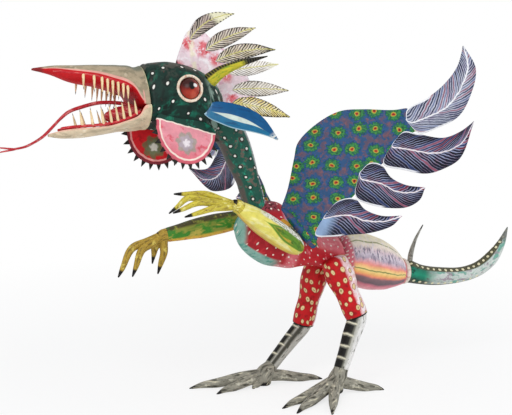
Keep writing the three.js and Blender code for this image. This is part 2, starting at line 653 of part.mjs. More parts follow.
// Ears: cupped leaves that point back and down
function addTurned(parent, place) {
  const frame = new THREE.Group();
  frame.applyMatrix4(place);
  parent.add(frame);
  frame.updateWorldMatrix(true, false);
  return frame;
}
function earFrame(side) {
  const [yaw, dip] = [ear.yawDegrees, ear.dipDegrees].map(THREE.MathUtils.degToRad);
  const along = vec(
    Math.cos(yaw) * Math.cos(dip), side * Math.sin(yaw) * Math.cos(dip), -Math.sin(dip),
  );
  const face = vec(0, 1, 0).addScaledVector(along, -along.y).normalize();
  const place = new THREE.Matrix4().makeBasis(along, face.clone().cross(along), face);
  return addTurned(headFrame, place.setPosition(ear.x, side * ear.out, -ear.drop));
}
function makeEar(side, frame) {
  const cup = (point) => side * ear.cup * Math.cos((Math.PI * point.y) / ear.width)
    * Math.sin((Math.PI * Math.min(point.x, ear.length)) / ear.length);
  const mirror = ([x, y]) => [x, side < 0 ? y : -y];
  return leaf([0, 0], [ear.length, 0], ear.width, {
    tables: [earUpperShares, earLowerShares].map((table) => table.map(mirror)),
    along: 7, across: 3, thickness: ear.thickness, edge: ear.thickness / 2, tip: ear.thickness, cup, frame,
  });
}

// Throat wattles: a half disc of card with a spiked fringe
function wattleFrame(side) {
  const right = side > 0 ? 1 : 0;
  const [splay, tilt, yaw] = [wattle.splayDegrees, wattle.tiltDegrees, wattle.yawDegrees]
    .map(THREE.MathUtils.degToRad);
  const turn = new THREE.Matrix4().makeRotationX(Math.PI / 2 + side * splay);
  const lean = new THREE.Matrix4().makeRotationY(tilt).multiply(turn);
  const place = new THREE.Matrix4().makeRotationZ(-side * yaw).multiply(lean);
  return addTurned(headFrame, place.setPosition(
    wattle.x - right * wattle.rightForward, side * wattle.out,
    -wattle.drop + right * wattle.rightRise,
  ));
}
function makeWattle(frame) {
  const shape = new THREE.Shape();
  const at = (angle, extra) => [
    (wattle.halfLength + extra) * Math.cos(angle), (wattle.depth + extra) * Math.sin(angle),
  ];
  shape.moveTo(wattle.halfLength, wattle.cornerSeat);
  shape.lineTo(0, wattle.seat);
  shape.lineTo(-wattle.halfLength, wattle.seat);
  const step = Math.PI / wattle.fringeCount;
  for (let i = 0; i < wattle.fringeCount; i += 1) {
    shape.lineTo(...at(Math.PI + i * step, 0));
    shape.lineTo(...at(Math.PI + (i + 0.18) * step, 0));
    shape.lineTo(...at(Math.PI + (i + 0.5) * step, wattle.fringe));
    shape.lineTo(...at(Math.PI + (i + 0.82) * step, 0));
  }
  shape.lineTo(wattle.halfLength, 0);
  const sheetOf = new THREE.ExtrudeGeometry(shape, { depth: wattle.thickness, bevelEnabled: false });
  return solidOf(sheetOf, new THREE.Matrix4().makeTranslation(0, 0, -wattle.thickness / 2), frame);
}

// Crest: one card sheet on the skull's ridge with six feathers cut from it
const scaled = (table, wide, tall) => table.map(([x, y]) => [x * wide, y * tall]);
const crestFrame = addTurned(headFrame, new THREE.Matrix4().makeRotationX(Math.PI / 2));
function makeCrest() {
  const options = { across: 2, thickness: crest.thickness, tip: crest.tip, frame: crestFrame };
  const base = sheet(
    scaled(crestOuterShares, crest.length, crest.height),
    scaled(crestInnerShares, crest.length, crest.height),
    { along: 8, edge: crest.thickness, ...options },
  );
  const feathers = crestFeatherShares.map(({ root, tip, bend, wideShare }) => leaf(
    ...scaled([root, tip], crest.length, crest.height), crest.featherWidth * wideShare,
    { bend, along: 5, edge: crest.edge, ...options },
  ));
  return join([base, ...feathers]);
}

// Wings: a cupped panel with a thick root, and four feathers let into its trailing edge
const wingOutline = (table) => scaled(table, wing.span, wing.height);
function wingOptions(pose, frame) {
  const inSpan = (point) => Math.min(Math.max(point.x, 0), wing.span) / wing.span;
  const cup = (point) => pose.cup * Math.sin(Math.PI * inSpan(point));
  return { thickness: wing.thickness, edge: wing.edge, tip: wing.tip, cup, frame };
}
const makeFeather = ({ upper, lower }, options) => sheet(
  wingOutline(upper), wingOutline(lower), { along: 6, across: 2, ...options },
);
function makeWingPanel(side, pose, frame) {
  const panel = sheet(wingOutline(wingLeadShares), wingOutline(wingTrailShares), {
    along: 9, across: 2, ...wingOptions(pose, frame), edge: wing.thickness * 0.8,
  });
  const [front, rear] = wingOutline([wingLeadShares[0], wingTrailShares[0]]).map(([x, y]) => vec(x, y, 0));
  const rootBar = limb(
    [0.02, 0.35, 0.7, 1].map((share) => front.clone().lerp(rear, share)),
    [0.45, 0.9, 1, 0.7].map((share) => share * wing.rootRadius),
    { rings: 4, sides: 7, across: vertical, frame },
  );
  const { joint, inner } = wingAnchor(side, frame);
  const boss = limb([joint, inner], [wing.rootRadius, wing.rootRadius * 1.3], { rings: 1, sides: 8 });
  const pockets = wingFeatherShares.map((feather) => makeFeather(feather, {
    ...wingOptions(pose, frame), thickness: wing.thickness * 3, edge: wing.thickness * 3, grow: seatGap,
  }));
  return cut(join([panel, rootBar, boss]), ...pockets);
}
// Where a wing's boss starts, in its root bar, and where it ends inside the torso
function wingAnchor(side, frame) {
  const [front, rear] = wingOutline([wingLeadShares[0], wingTrailShares[0]]).map(([x, y]) => vec(x, y, 0));
  const joint = front.lerp(rear, 0.55).applyMatrix4(frame.matrixWorld);
  const inner = vec(joint.x, side * torso.halfWide * 0.3, torso.axisHeight - torso.drop * 0.4);
  return { joint, inner };
}

// Arms: upper arm, forearm and a hand of four clawed fingers
const sideName = (side) => (side < 0 ? 'left' : 'right');
function armPoints(arm, side) {
  const shoulder = chest.clone().add(vec(arm.shoulderBack, side * arm.shoulderOut, arm.shoulderRise));
  const elbow = shoulder.clone().add(vec(arm.elbowBack, side * arm.elbowOut, arm.elbowRise));
  const wrist = elbow.clone().add(vec(arm.wristBack, side * arm.wristOut, arm.wristRise));
  return { shoulder, elbow, wrist };
}
function makeUpperArm(arm, side, grow) {
  const { shoulder, elbow } = armPoints(arm, side);
  return limb(
    [0, 0.3, 0.75, 1].map((share) => shoulder.clone().lerp(elbow, share)),
    [0.7, 1, 0.95, 0.8].map((share) => share * arm.upperRadius), { rings: 5, sides: 10, grow },
  );
}
function makeForearm(arm, side, grow) {
  const { elbow, wrist } = armPoints(arm, side);
  const stations = [-0.1, -0.05, 0.06, 0.3, 0.55, 0.82, 1].map((share) => elbow.clone().lerp(wrist, share));
  const radii = [0.2, 0.58, 0.86, 1, 1, 0.8, 0].map((share) => share * arm.foreRadius);
  radii[radii.length - 1] = arm.wristRadius;
  return limb(stations, radii, { rings: 6, sides: 9, grow });
}
function makeHand(arm, side, fingers) {
  const { elbow, wrist } = armPoints(arm, side);
  const ahead = wrist.clone().sub(elbow).normalize();
  const root = wrist.clone().addScaledVector(ahead, hand.palmRadius * 0.5);
  const palm = limb(
    palmPlaceShares.map((share) => wrist.clone().addScaledVector(ahead, hand.palmRadius * share)),
    [arm.wristRadius, hand.palmRadius * palmRadiusShare, hand.palmRadius * palmEndShare],
    { rings: 2, sides: 6 },
  );
  const spread = fingers.map(({ knuckle, tip }) => {
    const [bent, end] = [knuckle, tip].map((shares) => (
      wrist.clone().add(vec(...shares).multiplyScalar(hand.reach))
    ));
    const claw = end.clone().lerp(bent, hand.clawLength / end.distanceTo(bent));
    return limb(
      [root, root.clone().lerp(bent, 0.5), bent, claw, end],
      [...fingerRadiusShares.map((share) => share * arm.fingerRadius), hand.clawRadius],
      { rings: 4, sides: 5 },
    );
  });
  return join([palm, ...spread]);
}

// Legs: thigh, shank and a foot whose soles lie flat on the ground
function legPoints(leg, side) {
  const hip = rump.clone().add(vec(-leg.hipFore, side * leg.hipOut, leg.hipRise));
  const knee = hip.clone().add(vec(leg.kneeBack, side * leg.kneeOut, 0)).setZ(leg.kneeHeight);
  const ankle = knee.clone().add(vec(-leg.ankleFore, side * leg.ankleOut, 0)).setZ(leg.ankleHeight);
  const hub = ankle.clone().add(vec(-leg.footFore, side * leg.footOut, 0))
    .setZ(foot.hubRadius - foot.pressed);
  return { hip, knee, ankle, hub };
}
function makeThigh(leg, side, grow) {
  const { hip, knee } = legPoints(leg, side);
  return limb(
    [0, 0.3, 0.62, 0.86, 1].map((share) => hip.clone().lerp(knee, share)),
    [
      0.86 * leg.thighRadius, leg.thighRadius, 0.79 * leg.thighRadius, 1.07 * leg.kneeRadius,
      leg.kneeRadius,
    ],
    { rings: 6, sides: 10, grow },
  );
}
function makeShank(leg, side, grow) {
  const { hip, knee, ankle } = legPoints(leg, side);
  const tucked = knee.clone().lerp(hip, 0.06);
  return limb(
    [tucked, knee, knee.clone().lerp(ankle, 0.4), knee.clone().lerp(ankle, 0.75), ankle],
    [
      leg.shankRadius * 0.94, leg.shankRadius, leg.shankRadius * 0.9, leg.ankleRadius * 1.06,
      leg.ankleRadius,
    ],
    { rings: 5, sides: 9, grow },
  );
}
const groundCut = solidOf(
  new THREE.BoxGeometry(foot.reach * 6, foot.reach * 6, cutOver),
  new THREE.Matrix4().makeTranslation(rump.x, 0, -cutOver / 2),
);
function makeFoot(leg, side, toes) {
  const { ankle, hub } = legPoints(leg, side);
  const sole = vec(hub.x, hub.y, -foot.pressed);
  const instep = limb(
    [ankle.clone().lerp(hub, -0.25), ankle, ankle.clone().lerp(hub, 0.55), hub, sole],
    [leg.ankleRadius, leg.ankleRadius, foot.hubRadius, foot.hubRadius, foot.hubRadius * 0.8],
    { rings: 4, sides: 7 },
  );
  const spread = toes.map(({ tip: [x, y], size }) => {
    const thick = foot.toeRadius * size;
    const at = (share, height) => vec(
      hub.x + foot.reach * share * x, hub.y + foot.reach * share * y, height - foot.pressed,
    );
    return limb(
      [
        at(0, ankle.z * 0.62), at(0.3, thick * 1.5), at(0.62, thick * 0.86), at(0.84, thick * 0.62),
        at(1, foot.clawRadius),
      ],
      [thick * 1.1, thick, thick * 0.8, thick * 0.5, foot.clawRadius], { rings: 4, sides: 5 },
    );
  });
  return cut(join([instep, ...spread]), groundCut);
}

// Wires of the armature; each bore is its wire with a little clearance
const makeWire = (points, radius, grow, rings) => (
  limb(points, points.map(() => radius), { rings, sides: 5, grow })
);
function legWire(leg, side, grow) {
  const { hip, knee, ankle, hub } = legPoints(leg, side);
  const top = hip.clone().add(vec(-wireReach.leg, -side * leg.hipOut * 0.3, 0));
  const [thighMiddle, shankMiddle] = [hip.clone().lerp(knee, 0.5), knee.clone().lerp(ankle, 0.5)];
  return makeWire([top, hip, thighMiddle, knee, shankMiddle, ankle, hub], wire.legRadius, grow, 10);
}
function armWire(arm, side, grow) {
  const { shoulder, elbow, wrist } = armPoints(arm, side);
  const top = shoulder.clone().sub(vec(0, side * wireReach.arm, wireReach.arm * 0.5));
  const end = wrist.clone().lerp(elbow, -0.04);
  const points = [top, shoulder, elbow, elbow.clone().lerp(wrist, 0.5), end];
  return makeWire(points, wire.armRadius, grow, 8);
}
function wingWire(side, frame, grow) {
  const { joint, inner } = wingAnchor(side, frame);
  return makeWire([joint, inner], wire.wingRadius, grow, 1);
}
const neckAxis = neckStations.map((station) => station.at);
const neckWire = (grow) => makeWire(
  [neckFoot.clone().sub(vec(0, 0, wireReach.neck)), ...neckAxis], wire.neckRadius, grow, 9,
);
const tailWire = (grow) => makeWire([
  vent.clone().add(vec(-wireReach.tail, 0, wireReach.tail * 0.25)), collarStart, collarEnd,
  tailFoot.clone().add(vec(wireReach.tail, 0, -wireReach.tail * 0.25)),
], wire.tailRadius, grow, 6);

// Cut the neighbours to seat on each other, and bore them for the wires
const grownTorso = makeTorso(seatGap);
const grownHead = makeHead(seatGap);
const grownNeck = makeNeck(seatGap);

const sidesOf = {
  left: {
    side: -1, arm: leftArm, leg: leftLeg, pose: leftWingPose, fingers: leftFingerShares,
    toes: leftToeShares, wattleColour: colours.pink,
  },
  right: {
    side: 1, arm: rightArm, leg: rightLeg, pose: rightWingPose, fingers: rightFingerShares,
    toes: rightToeShares, wattleColour: colours.red,
  },
};
const wingFrames = {
  left: addWingFrame(-1, leftWingPose), right: addWingFrame(1, rightWingPose),
};
const torsoBores = Object.entries(sidesOf).flatMap(([name, { side, arm, leg }]) => [
  legWire(leg, side, wireGap), armWire(arm, side, wireGap), wingWire(side, wingFrames[name], wireGap),
]);
addPiece('torso', cut(makeTorso(0), ...torsoBores, neckWire(wireGap)), colours.red);
addPiece('abdomen', cut(makeAbdomen(0), tailWire(wireGap)), colours.rose);
addPiece('tail_collar', cut(makeCollar(0), tailWire(wireGap)), colours.cream);
addPiece('tail', cut(makeTail(0), makeCollar(seatGap), tailWire(wireGap)), colours.tail);
addPiece('neck', cut(makeNeck(0), grownTorso, grownHead, neckWire(wireGap)), colours.green);
addPiece('neck_wire', neckWire(0), colours.wire);
addPiece('tail_wire', tailWire(0), colours.wire);

const rumpSpineRoot = vent.clone().add(vec(rumpSpine.setBack, 0, collar.frontRadius * 0.3));
addPiece('rump_spine', cut(limb(
  [0, 0.3, 0.65, 1].map((share) => rumpSpineRoot.clone().add(
    vec(rumpSpine.lean * share * share, 0, (rumpSpine.height + collar.frontRadius * 0.7) * share),
  )),
  [1, 1, 0.6, 0.2].map((share) => rumpSpine.radius * share), { rings: 6, sides: 7 },
), makeAbdomen(seatGap), makeCollar(seatGap), makeTail(seatGap)), colours.grey);

const sockets = [-1, 1].map((side) => makeEyeball(side, seatGap));
addPiece('head', cut(
  makeHead(0), throatCut, ...sockets, makeTongue(wireGap), neckWire(wireGap),
), colours.green, headFrame);
addPiece('upper_beak', cut(makeUpperBeak(0), throatCut), colours.beak, headFrame);
addPiece('lower_beak', cut(
  makeLowerBeak(0), lowerHollow, throatCut, makeTongue(wireGap), makeUpperBeak(seatGap),
), colours.beak, headFrame);
addPiece('tongue', makeTongue(0), colours.tongueRed, headFrame);
addPiece('crest', cut(makeCrest(), grownHead, grownNeck), colours.pale, crestFrame);

Object.entries(sidesOf).forEach(([name, { side, wattleColour }]) => {
  const upperTeeth = toothRow({ ...upperRow, side, count: 8 });
  const lowerTeeth = toothRow({ ...lowerRow, side, count: 8 });
  addPiece(`upper_teeth_${name}`, cut(upperTeeth, makeUpperBeak(seatGap)), colours.tooth, headFrame);
  addPiece(`lower_teeth_${name}`, cut(lowerTeeth, lowerTrough), colours.tooth, headFrame);
  const rim = cut(makeEyeRim(side), grownHead, makeEyeball(side, seatGap));
  addPiece(`${name}_eye`, makeEyeball(side, 0), colours.iris, headFrame);
  addPiece(`${name}_eye_rim`, rim, colours.cream, headFrame);
  addPiece(`${name}_horn`, cut(makeHorn(side), grownHead, grownNeck), colours.yellow, headFrame);
  const earAt = earFrame(side);
  const earSheet = cut(makeEar(side, earAt), grownHead, grownNeck);
  addPiece(`${name}_ear`, earSheet, colours.earBlue, earAt);
  const wattleAt = wattleFrame(side);
  const flap = cut(
    makeWattle(wattleAt), grownHead, grownNeck, makeUpperBeak(seatGap), makeLowerBeak(seatGap),
  );
  addPiece(`${name}_wattle`, flap, wattleColour, wattleAt);
});

Object.entries(sidesOf).forEach(([name, { side, arm, leg, pose, fingers, toes }]) => {
  const armBore = armWire(arm, side, wireGap);
  const [upperArm, grownUpperArm] = [0, seatGap].map((grow) => makeUpperArm(arm, side, grow));
  const [forearm, grownForearm] = [0, seatGap].map((grow) => makeForearm(arm, side, grow));
  const palm = makeHand(arm, side, fingers);
  addPiece(`${name}_upper_arm`, cut(upperArm, grownTorso, grownNeck, armBore), colours.olive);
  addPiece(`${name}_forearm`, cut(forearm, grownTorso, grownUpperArm, armBore), colours.yellow);
  addPiece(`${name}_hand`, cut(palm, grownForearm, armBore), colours.yellow);
  addPiece(`${name}_arm_wire`, armWire(arm, side, 0), colours.wire);

  const legBore = legWire(leg, side, wireGap);
  const thigh = cut(makeThigh(leg, side, 0), grownTorso, makeAbdomen(seatGap), legBore);
  const shank = cut(makeShank(leg, side, 0), makeThigh(leg, side, seatGap), legBore);
  const sole = cut(makeFoot(leg, side, toes), makeShank(leg, side, seatGap), legBore);
  addPiece(`${name}_thigh`, thigh, colours.thigh);
  addPiece(`${name}_shank`, shank, colours.shank);
  addPiece(`${name}_foot`, sole, colours.foot);
  addPiece(`${name}_leg_wire`, legWire(leg, side, 0), colours.wire);

  const frame = wingFrames[name];
  const panel = cut(
    makeWingPanel(side, pose, frame), grownTorso, grownNeck, grownUpperArm, grownForearm,
    wingWire(side, frame, wireGap),
  );
  addPiece(`${name}_wing_panel`, panel, colours.wingBlue, frame);
  addPiece(`${name}_wing_wire`, wingWire(side, frame, 0), colours.wire, frame);
  wingFeatherShares.forEach((feather) => {
    const vane = makeFeather(feather, wingOptions(pose, frame));
    addPiece(`${name}_wing_${feather.name}`, vane, colours.barb, frame);
  });
});

// The origin is under the middle of the figure, on the ground
const bounds = new THREE.Box3().setFromObject(figure, true);
const middle = bounds.getCenter(vec(0, 0, 0));
figure.position.set(-middle.x, -middle.y, -bounds.min.z);
figure.updateMatrixWorld(true);

export default figure;
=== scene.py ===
"""Alebrije bird figure: hand-painted papier-mache over bent wire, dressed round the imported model.

Shapes are worked out in millimetres in the bird's own frame: it looks towards -X, its left side is
-Y, it stands on z = 0 and the middle plane of its body is y = 0. Placement turns that frame into the
packed one. Every pattern is generic folk brushwork: rows of dots, feather barbs, eye-spots, stripes.
"""
import logging
import math
from dataclasses import dataclass, field
from enum import Enum
from typing import Callable, Iterable, Sequence

import bmesh
import bpy
from mathutils import Matrix, Vector, noise


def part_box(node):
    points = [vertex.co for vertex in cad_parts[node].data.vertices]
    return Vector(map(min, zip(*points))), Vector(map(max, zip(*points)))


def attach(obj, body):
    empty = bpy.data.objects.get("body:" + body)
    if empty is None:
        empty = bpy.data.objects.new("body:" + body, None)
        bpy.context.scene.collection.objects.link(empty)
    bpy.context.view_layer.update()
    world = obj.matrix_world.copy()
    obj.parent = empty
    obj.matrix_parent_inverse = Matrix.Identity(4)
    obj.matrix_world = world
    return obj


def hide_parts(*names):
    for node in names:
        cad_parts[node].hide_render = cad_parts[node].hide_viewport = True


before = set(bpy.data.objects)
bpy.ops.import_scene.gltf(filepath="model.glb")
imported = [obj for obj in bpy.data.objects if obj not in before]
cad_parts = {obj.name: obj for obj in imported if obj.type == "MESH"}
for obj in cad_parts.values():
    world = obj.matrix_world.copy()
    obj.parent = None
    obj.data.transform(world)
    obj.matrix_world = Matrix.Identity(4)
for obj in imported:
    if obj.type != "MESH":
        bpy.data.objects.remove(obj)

log = logging.getLogger("alebrije")
logging.basicConfig(level=logging.INFO, format="%(name)s: %(message)s")

# A millimetre in metres, and a centimetre in millimetres
MM = 0.001
CM = 10
# Least step along a smooth line, and the size of hand-laid paper's lumps in mm
TINY = 1e-4
PAPER_LUMP = 14
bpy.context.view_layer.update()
LATERAL = Vector((0, 1, 0))
VERTICAL = Vector((0, 0, 1))
SIDES = {"left": -1, "right": 1}
Socket = bpy.types.NodeSocket
Material = bpy.types.Material
Spot = tuple[Vector, Vector, Vector]


def linear(shade: str) -> tuple[float, float, float, float]:
    """Turn an sRGB hex colour into a linear RGBA one.

    Args:
        shade: A colour such as "#a0b0c0".

    Returns:
        Linear red, green, blue and an alpha of one.
    """
    parts = [int(shade[i:i + 2], 16) / 255 for i in (1, 3, 5)]
    red, green, blue = [p / 12.92 if p <= 0.04045 else ((p + 0.055) / 1.055) ** 2.4 for p in parts]
    return red, green, blue, 1.0


def add_node(tree: bpy.types.NodeTree, kind: str, links: dict | Sequence = (),
             stops: Sequence[tuple[float, str]] = (), **settings) -> Socket:
    """Add one node with its settings, its colour stops and what feeds it.

    Args:
        tree: The node tree that gets the node.
        kind: The node's type name after ShaderNode.
        links: A socket, a value or a hex colour for each input, in their order or by name or number.
        stops: Places and hex colours of a colour ramp.
        **settings: Attributes of the node.

    Returns:
        The node's first output, or its first input where it has no output.
    """
    made = tree.nodes.new("ShaderNode" + kind)
    for name, value in settings.items():
        setattr(made, name, value)
    if stops:
        band = made.color_ramp.elements
        while len(band) > 1:
            band.remove(band[-1])
        band[0].position, band[0].color = stops[0][0], linear(stops[0][1])
        for place, shade in stops[1:]:
            band.new(place).color = linear(shade)
    for name, value in links.items() if isinstance(links, dict) else enumerate(links):
        if isinstance(value, Socket):
            tree.links.new(value, made.inputs[name])
        else:
            made.inputs[name].default_value = linear(value) if isinstance(value, str) else value
    return made.outputs[0] if made.outputs else made.inputs[0]


class SmoothLine:
    """A smooth line through points, bent as the solids' own splines are."""

    def __init__(self, points: Iterable[Sequence[float]]) -> None:
        """Keep the points that the line runs through."""
        self.points = [Vector(p) for p in points]

    def point(self, share: float) -> Vector:
        """Return the point at a share of the way, counted span by span.

        Args:
            share: From nought at the start to one at the end.

        Returns:
            The point.
        """
        pts = self.points
        spot = min(max(share, 0.0), 1.0) * (len(pts) - 1)
        i = min(int(spot), len(pts) - 2)
        t = spot - i
        b, c = pts[i], pts[i + 1]
        a = pts[i - 1] if i else b * 2 - c
        d = pts[i + 2] if i + 2 < len(pts) else c * 2 - b
        k0, k1, k2 = ((q - p).length ** 0.5 for p, q in ((a, b), (b, c), (c, d)))
        k1 = k1 if k1 > TINY else 1.0
        k0 = k0 if k0 > TINY else k1
        k2 = k2 if k2 > TINY else k1
        go = ((b - a) / k0 - (c - a) / (k0 + k1) + (c - b) / k1) * k1
        end = ((c - b) / k1 - (d - b) / (k1 + k2) + (d - c) / k2) * k1
        return b + go * t + (b * -3 + c * 3 - go * 2 - end) * t * t + (b * 2 - c * 2 + go + end) * t ** 3

    def tangent(self, share: float) -> Vector:
        """Return the direction of the line at a share of the way."""
        return (self.point(min(share + TINY, 1)) - self.point(max(share - TINY, 0))).normalized()


def lump(spot: Vector, size: float, depth: float) -> float:
    """Return how far hand-laid paper stands off at a spot, for lumps of a size and depth in mm."""
    return noise.noise(spot / size) * depth


class Placement:
    """Turns the bird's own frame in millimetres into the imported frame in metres."""

    def __init__(self, chest_x: float) -> None:
        """Read the shift off the torso's box: its front is the chest and its middle is y = 0.

        Args:
            chest_x: Where the chest lies in the bird's own frame, in mm.
        """
        low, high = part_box("torso")
        shift = Vector((low.x - chest_x * MM, (low.y + high.y) / 2, 0))
        self.matrix = Matrix.Translation(shift) @ Matrix.Scale(MM, 4)

    def spot(self, x: float, y: float, z: float) -> Vector:
        """Return a point of the bird's own frame in metres."""
        return self.matrix @ Vector((x, y, z))


class Skin:
    """A bmesh that grows unrolled sheets into closed skins and cupped cards, with painting maps.

    The map "Paint" holds shares across and along; "Span" holds real centimetres from the middle line
    and from the start, so a pattern of a given size keeps it.
    """

    def __init__(self) -> None:
        """Start an empty skin."""
        self.bm = bmesh.new()
        self.paint = self.bm.loops.layers.uv.new("Paint")
        self.span = self.bm.loops.layers.uv.new("Span")

    def grid(self, columns: int, rows: int, shape: Callable[[float, float], Spot], weld: bool) -> None:
        """Lay one unrolled sheet and bend it into its shape.

        Args:
            columns: Faces across.
            rows: Faces along.
            shape: Gives place, paint shares and span for a share across and a share along.
            weld: Close the seam and the poles afterwards.
        """
        made = bmesh.ops.create_grid(self.bm, x_segments=columns, y_segments=rows, size=0.5)["verts"]
        places = {v: shape(round(v.co.x + 0.5, 6), round(v.co.y + 0.5, 6)) for v in made}
        for face in {f for v in made for f in v.link_faces}:
            for loop in face.loops:
                _, share, span = places[loop.vert]
                loop[self.paint].uv = share.xy
                loop[self.span].uv = span.xy
        for vert, (place, _, _) in places.items():
            vert.co = place
        if weld:
            bmesh.ops.remove_doubles(self.bm, verts=made, dist=1e-3)

    def tube(self, stations: Sequence["Station"], rings: int, sides: int, *, across: Vector = LATERAL,
             upright: Vector | None = None, seam: float = -90, turn: int = 1, matrix: Matrix = Matrix(),
             lumps: float = 0.35, cap: float = 0.25) -> None:
        """Grow a closed skin round a smooth spine.

        Args:
            stations: Centres with a half width, a height above and a depth below.
            rings: Rings of faces along the spine.
            sides: Faces round the spine.
            across: Sideways direction of the rings.
            upright: Fixed up direction, or none to stand square to the spine.
            seam: Angle of the seam in degrees, 0 being across and 90 up.
            turn: Which way the map runs round.
            matrix: Turns the skin into the bird's frame.
            lumps: Depth of the hand-laid unevenness in mm.
            cap: How far each end bulges, as a share of its radius.
        """
        spine = SmoothLine(s.at for s in stations)
        girth = SmoothLine((s.wide, s.above, s.below) for s in stations)
        length = [0.0]
        for ring in range(rings):
            step = spine.point((ring + 1) / rings) - spine.point(ring / rings)
            length.append(length[-1] + step.length)

        def shape(u: float, v: float) -> Spot:
            """Return a spot of the skin.

            Args:
                u: Share across or round.
                v: Share along.

            Returns:
                Place, shares and span.
            """
            ring = round(v * (rings + 2)) - 1
            held = min(max(ring, 0), rings)
            share = held / rings
            along = spine.tangent(share)
            up = upright or along.cross(across).normalized()
            sideways = across if upright else up.cross(along).normalized()
            half = girth.point(share)
            centre = spine.point(share)
            round_about = 2 * math.pi * (half.x + half.y / 2 + half.z / 2) / 2
            span = Vector(((u - 0.5) * round_about / CM, length[held] / CM, 0))
            if ring != held:
                pole = centre + along * (cap * half.x * (1 if ring > 0 else -1))
                return pole, Vector((u, share, 0)), span
            angle = math.radians(seam) + turn * 2 * math.pi * u
            tall = half.y if math.sin(angle) > 0 else half.z
            spot = centre + sideways * math.cos(angle) * half.x + up * math.sin(angle) * tall
            spot += (spot - centre).normalized() * lump(spot, PAPER_LUMP, lumps)
            return spot, Vector((u, share, 0)), span

        before = set(self.bm.verts)
        self.grid(sides, rings + 2, shape, True)
        if matrix != Matrix():
            fresh = [v for v in self.bm.verts if v not in before]
            bmesh.ops.transform(self.bm, matrix=matrix, verts=fresh)

    def card(self, upper: Sequence[Sequence[float]], lower: Sequence[Sequence[float]], *, along: int,
             across: int, tip: float, matrix: Matrix, cup: Callable[[Vector], float] = lambda p: 0.0,
             rib_bow: float = 0.0, flat_map: bool = False) -> None:
        """Lay a thin card between two edge lines, cupped out of its plane.

        Args:
            upper: Points of one edge in the card's plane, in mm.
            lower: Points of the other edge.
            along: Faces along the card.
            across: Faces across it.
            tip: Least width in mm, at the ends.
            matrix: Turns the card's plane into the bird's frame.
            cup: Height of the card over its plane at a point.
            rib_bow: How far the painted rib bows off the middle, as a share of the width.
            flat_map: Map the span on the plane itself in place of along the rib.
        """
        edges = [SmoothLine((x, y, 0) for x, y in side) for side in (upper, lower)]
        rows = [[edge.point(i / along) for edge in edges] for i in range(along + 1)]
        middles = [(a + b) / 2 for a, b in rows]
        length = [0.0]
        for i in range(along):
            length.append(length[-1] + (middles[i + 1] - middles[i]).length)

        def shape(u: float, v: float) -> Spot:
            """Return a spot of the card.

            Args:
                u: Share across or round.
                v: Share along.

            Returns:
                Place, shares and span.
            """
            i = round(v * along)
            near_upper, near_lower = rows[min(max(i, 1), along - 1)]
            reach = (near_upper - near_lower).normalized()
            wide = max((rows[i][0] - rows[i][1]).length, tip)
            spot = middles[i] + reach * wide * (0.5 - u)
            rib = 0.5 + rib_bow * math.sin(math.pi * v)
            share = 0.5 * u / rib if u < rib else 0.5 + 0.5 * (u - rib) / (1 - rib)
            span = Vector(((share - 0.5) * wide / CM, length[i] / CM, 0))
            if flat_map:
                span = spot / CM
            spot.z = cup(spot)
            return matrix @ spot, Vector((share, v, 0)), span

        self.grid(across, along, shape, False)

    def ball(self, centre: Vector, radius: float, matrix: Matrix) -> None:
        """Add a ball whose span map lies flat on its side view.

        Args:
            centre: Its middle.
            radius: Its radius in mm.
            matrix: Turns it into the bird's frame.
        """
        made = bmesh.ops.create_uvsphere(self.bm, u_segments=32, v_segments=20, radius=radius)["verts"]
        self.map_flat(made, radius)
        bmesh.ops.transform(self.bm, matrix=matrix @ Matrix.Translation(centre), verts=made)

    def ring(self, centre: Vector, radius: float, tube: float, matrix: Matrix) -> None:
        """Spin a round section into a ring that faces sideways.

        Args:
            centre: Its middle.
            radius: From its middle to its section's.
            tube: Its section's radius.
            matrix: Turns it into the bird's frame.
        """
        section = bmesh.ops.create_circle(self.bm, segments=10, radius=tube,
                                          matrix=Matrix.Translation((radius, 0, 0)))["verts"]
        edges = list({edge for vert in section for edge in vert.link_edges})
        bmesh.ops.spin(self.bm, geom=edges, axis=LATERAL, angle=2 * math.pi, steps=44, use_merge=True)
        self.map_flat(self.bm.verts, radius)
        bmesh.ops.transform(self.bm, matrix=matrix @ Matrix.Translation(centre), verts=self.bm.verts)

    def map_flat(self, verts: Iterable[bmesh.types.BMVert], radius: float) -> None:
        """Map verts flat on their side view, their shares running over the radius.

        Args:
            verts: What is mapped.
            radius: Half of what the shares run over.
        """
        for vert in verts:
            spot = Vector((vert.co.x, vert.co.z))
            for loop in vert.link_loops:
                loop[self.paint].uv = Vector((0.5, 0.5)) + spot / (2 * radius)
                loop[self.span].uv = spot / CM


@dataclass
class Station:
    """A ring of a skin: its centre, half width, height above and depth below, in mm."""

    at: Vector
    wide: float
    above: float
    below: float


def stations_of(table: Sequence[Sequence[float]], start: Vector, span: Sequence[float], wide: float,
                tall: float) -> list[Station]:
    """Turn a table of shares into stations.

    Args:
        table: Rows of x, y, z, width, height above and perhaps depth below, as shares.
        start: Where the piece starts.
        span: Its spans along x, y and z.
        wide: Its half width.
        tall: Its half height.

    Returns:
        One station for each row.
    """
    made = []
    for x, y, z, broad, above, *below in table:
        at = start + Vector((span[0] * x, span[1] * y, span[2] * z))
        made.append(Station(at, wide * broad, tall * above, tall * (below[0] if below else above)))
    return made


def round_stations(points: Sequence[Vector], radii: Sequence[float]) -> list[Station]:
    """Return stations of round section through points with a radius at each."""
    return [Station(p, r, r, r) for p, r in zip(points, radii)]


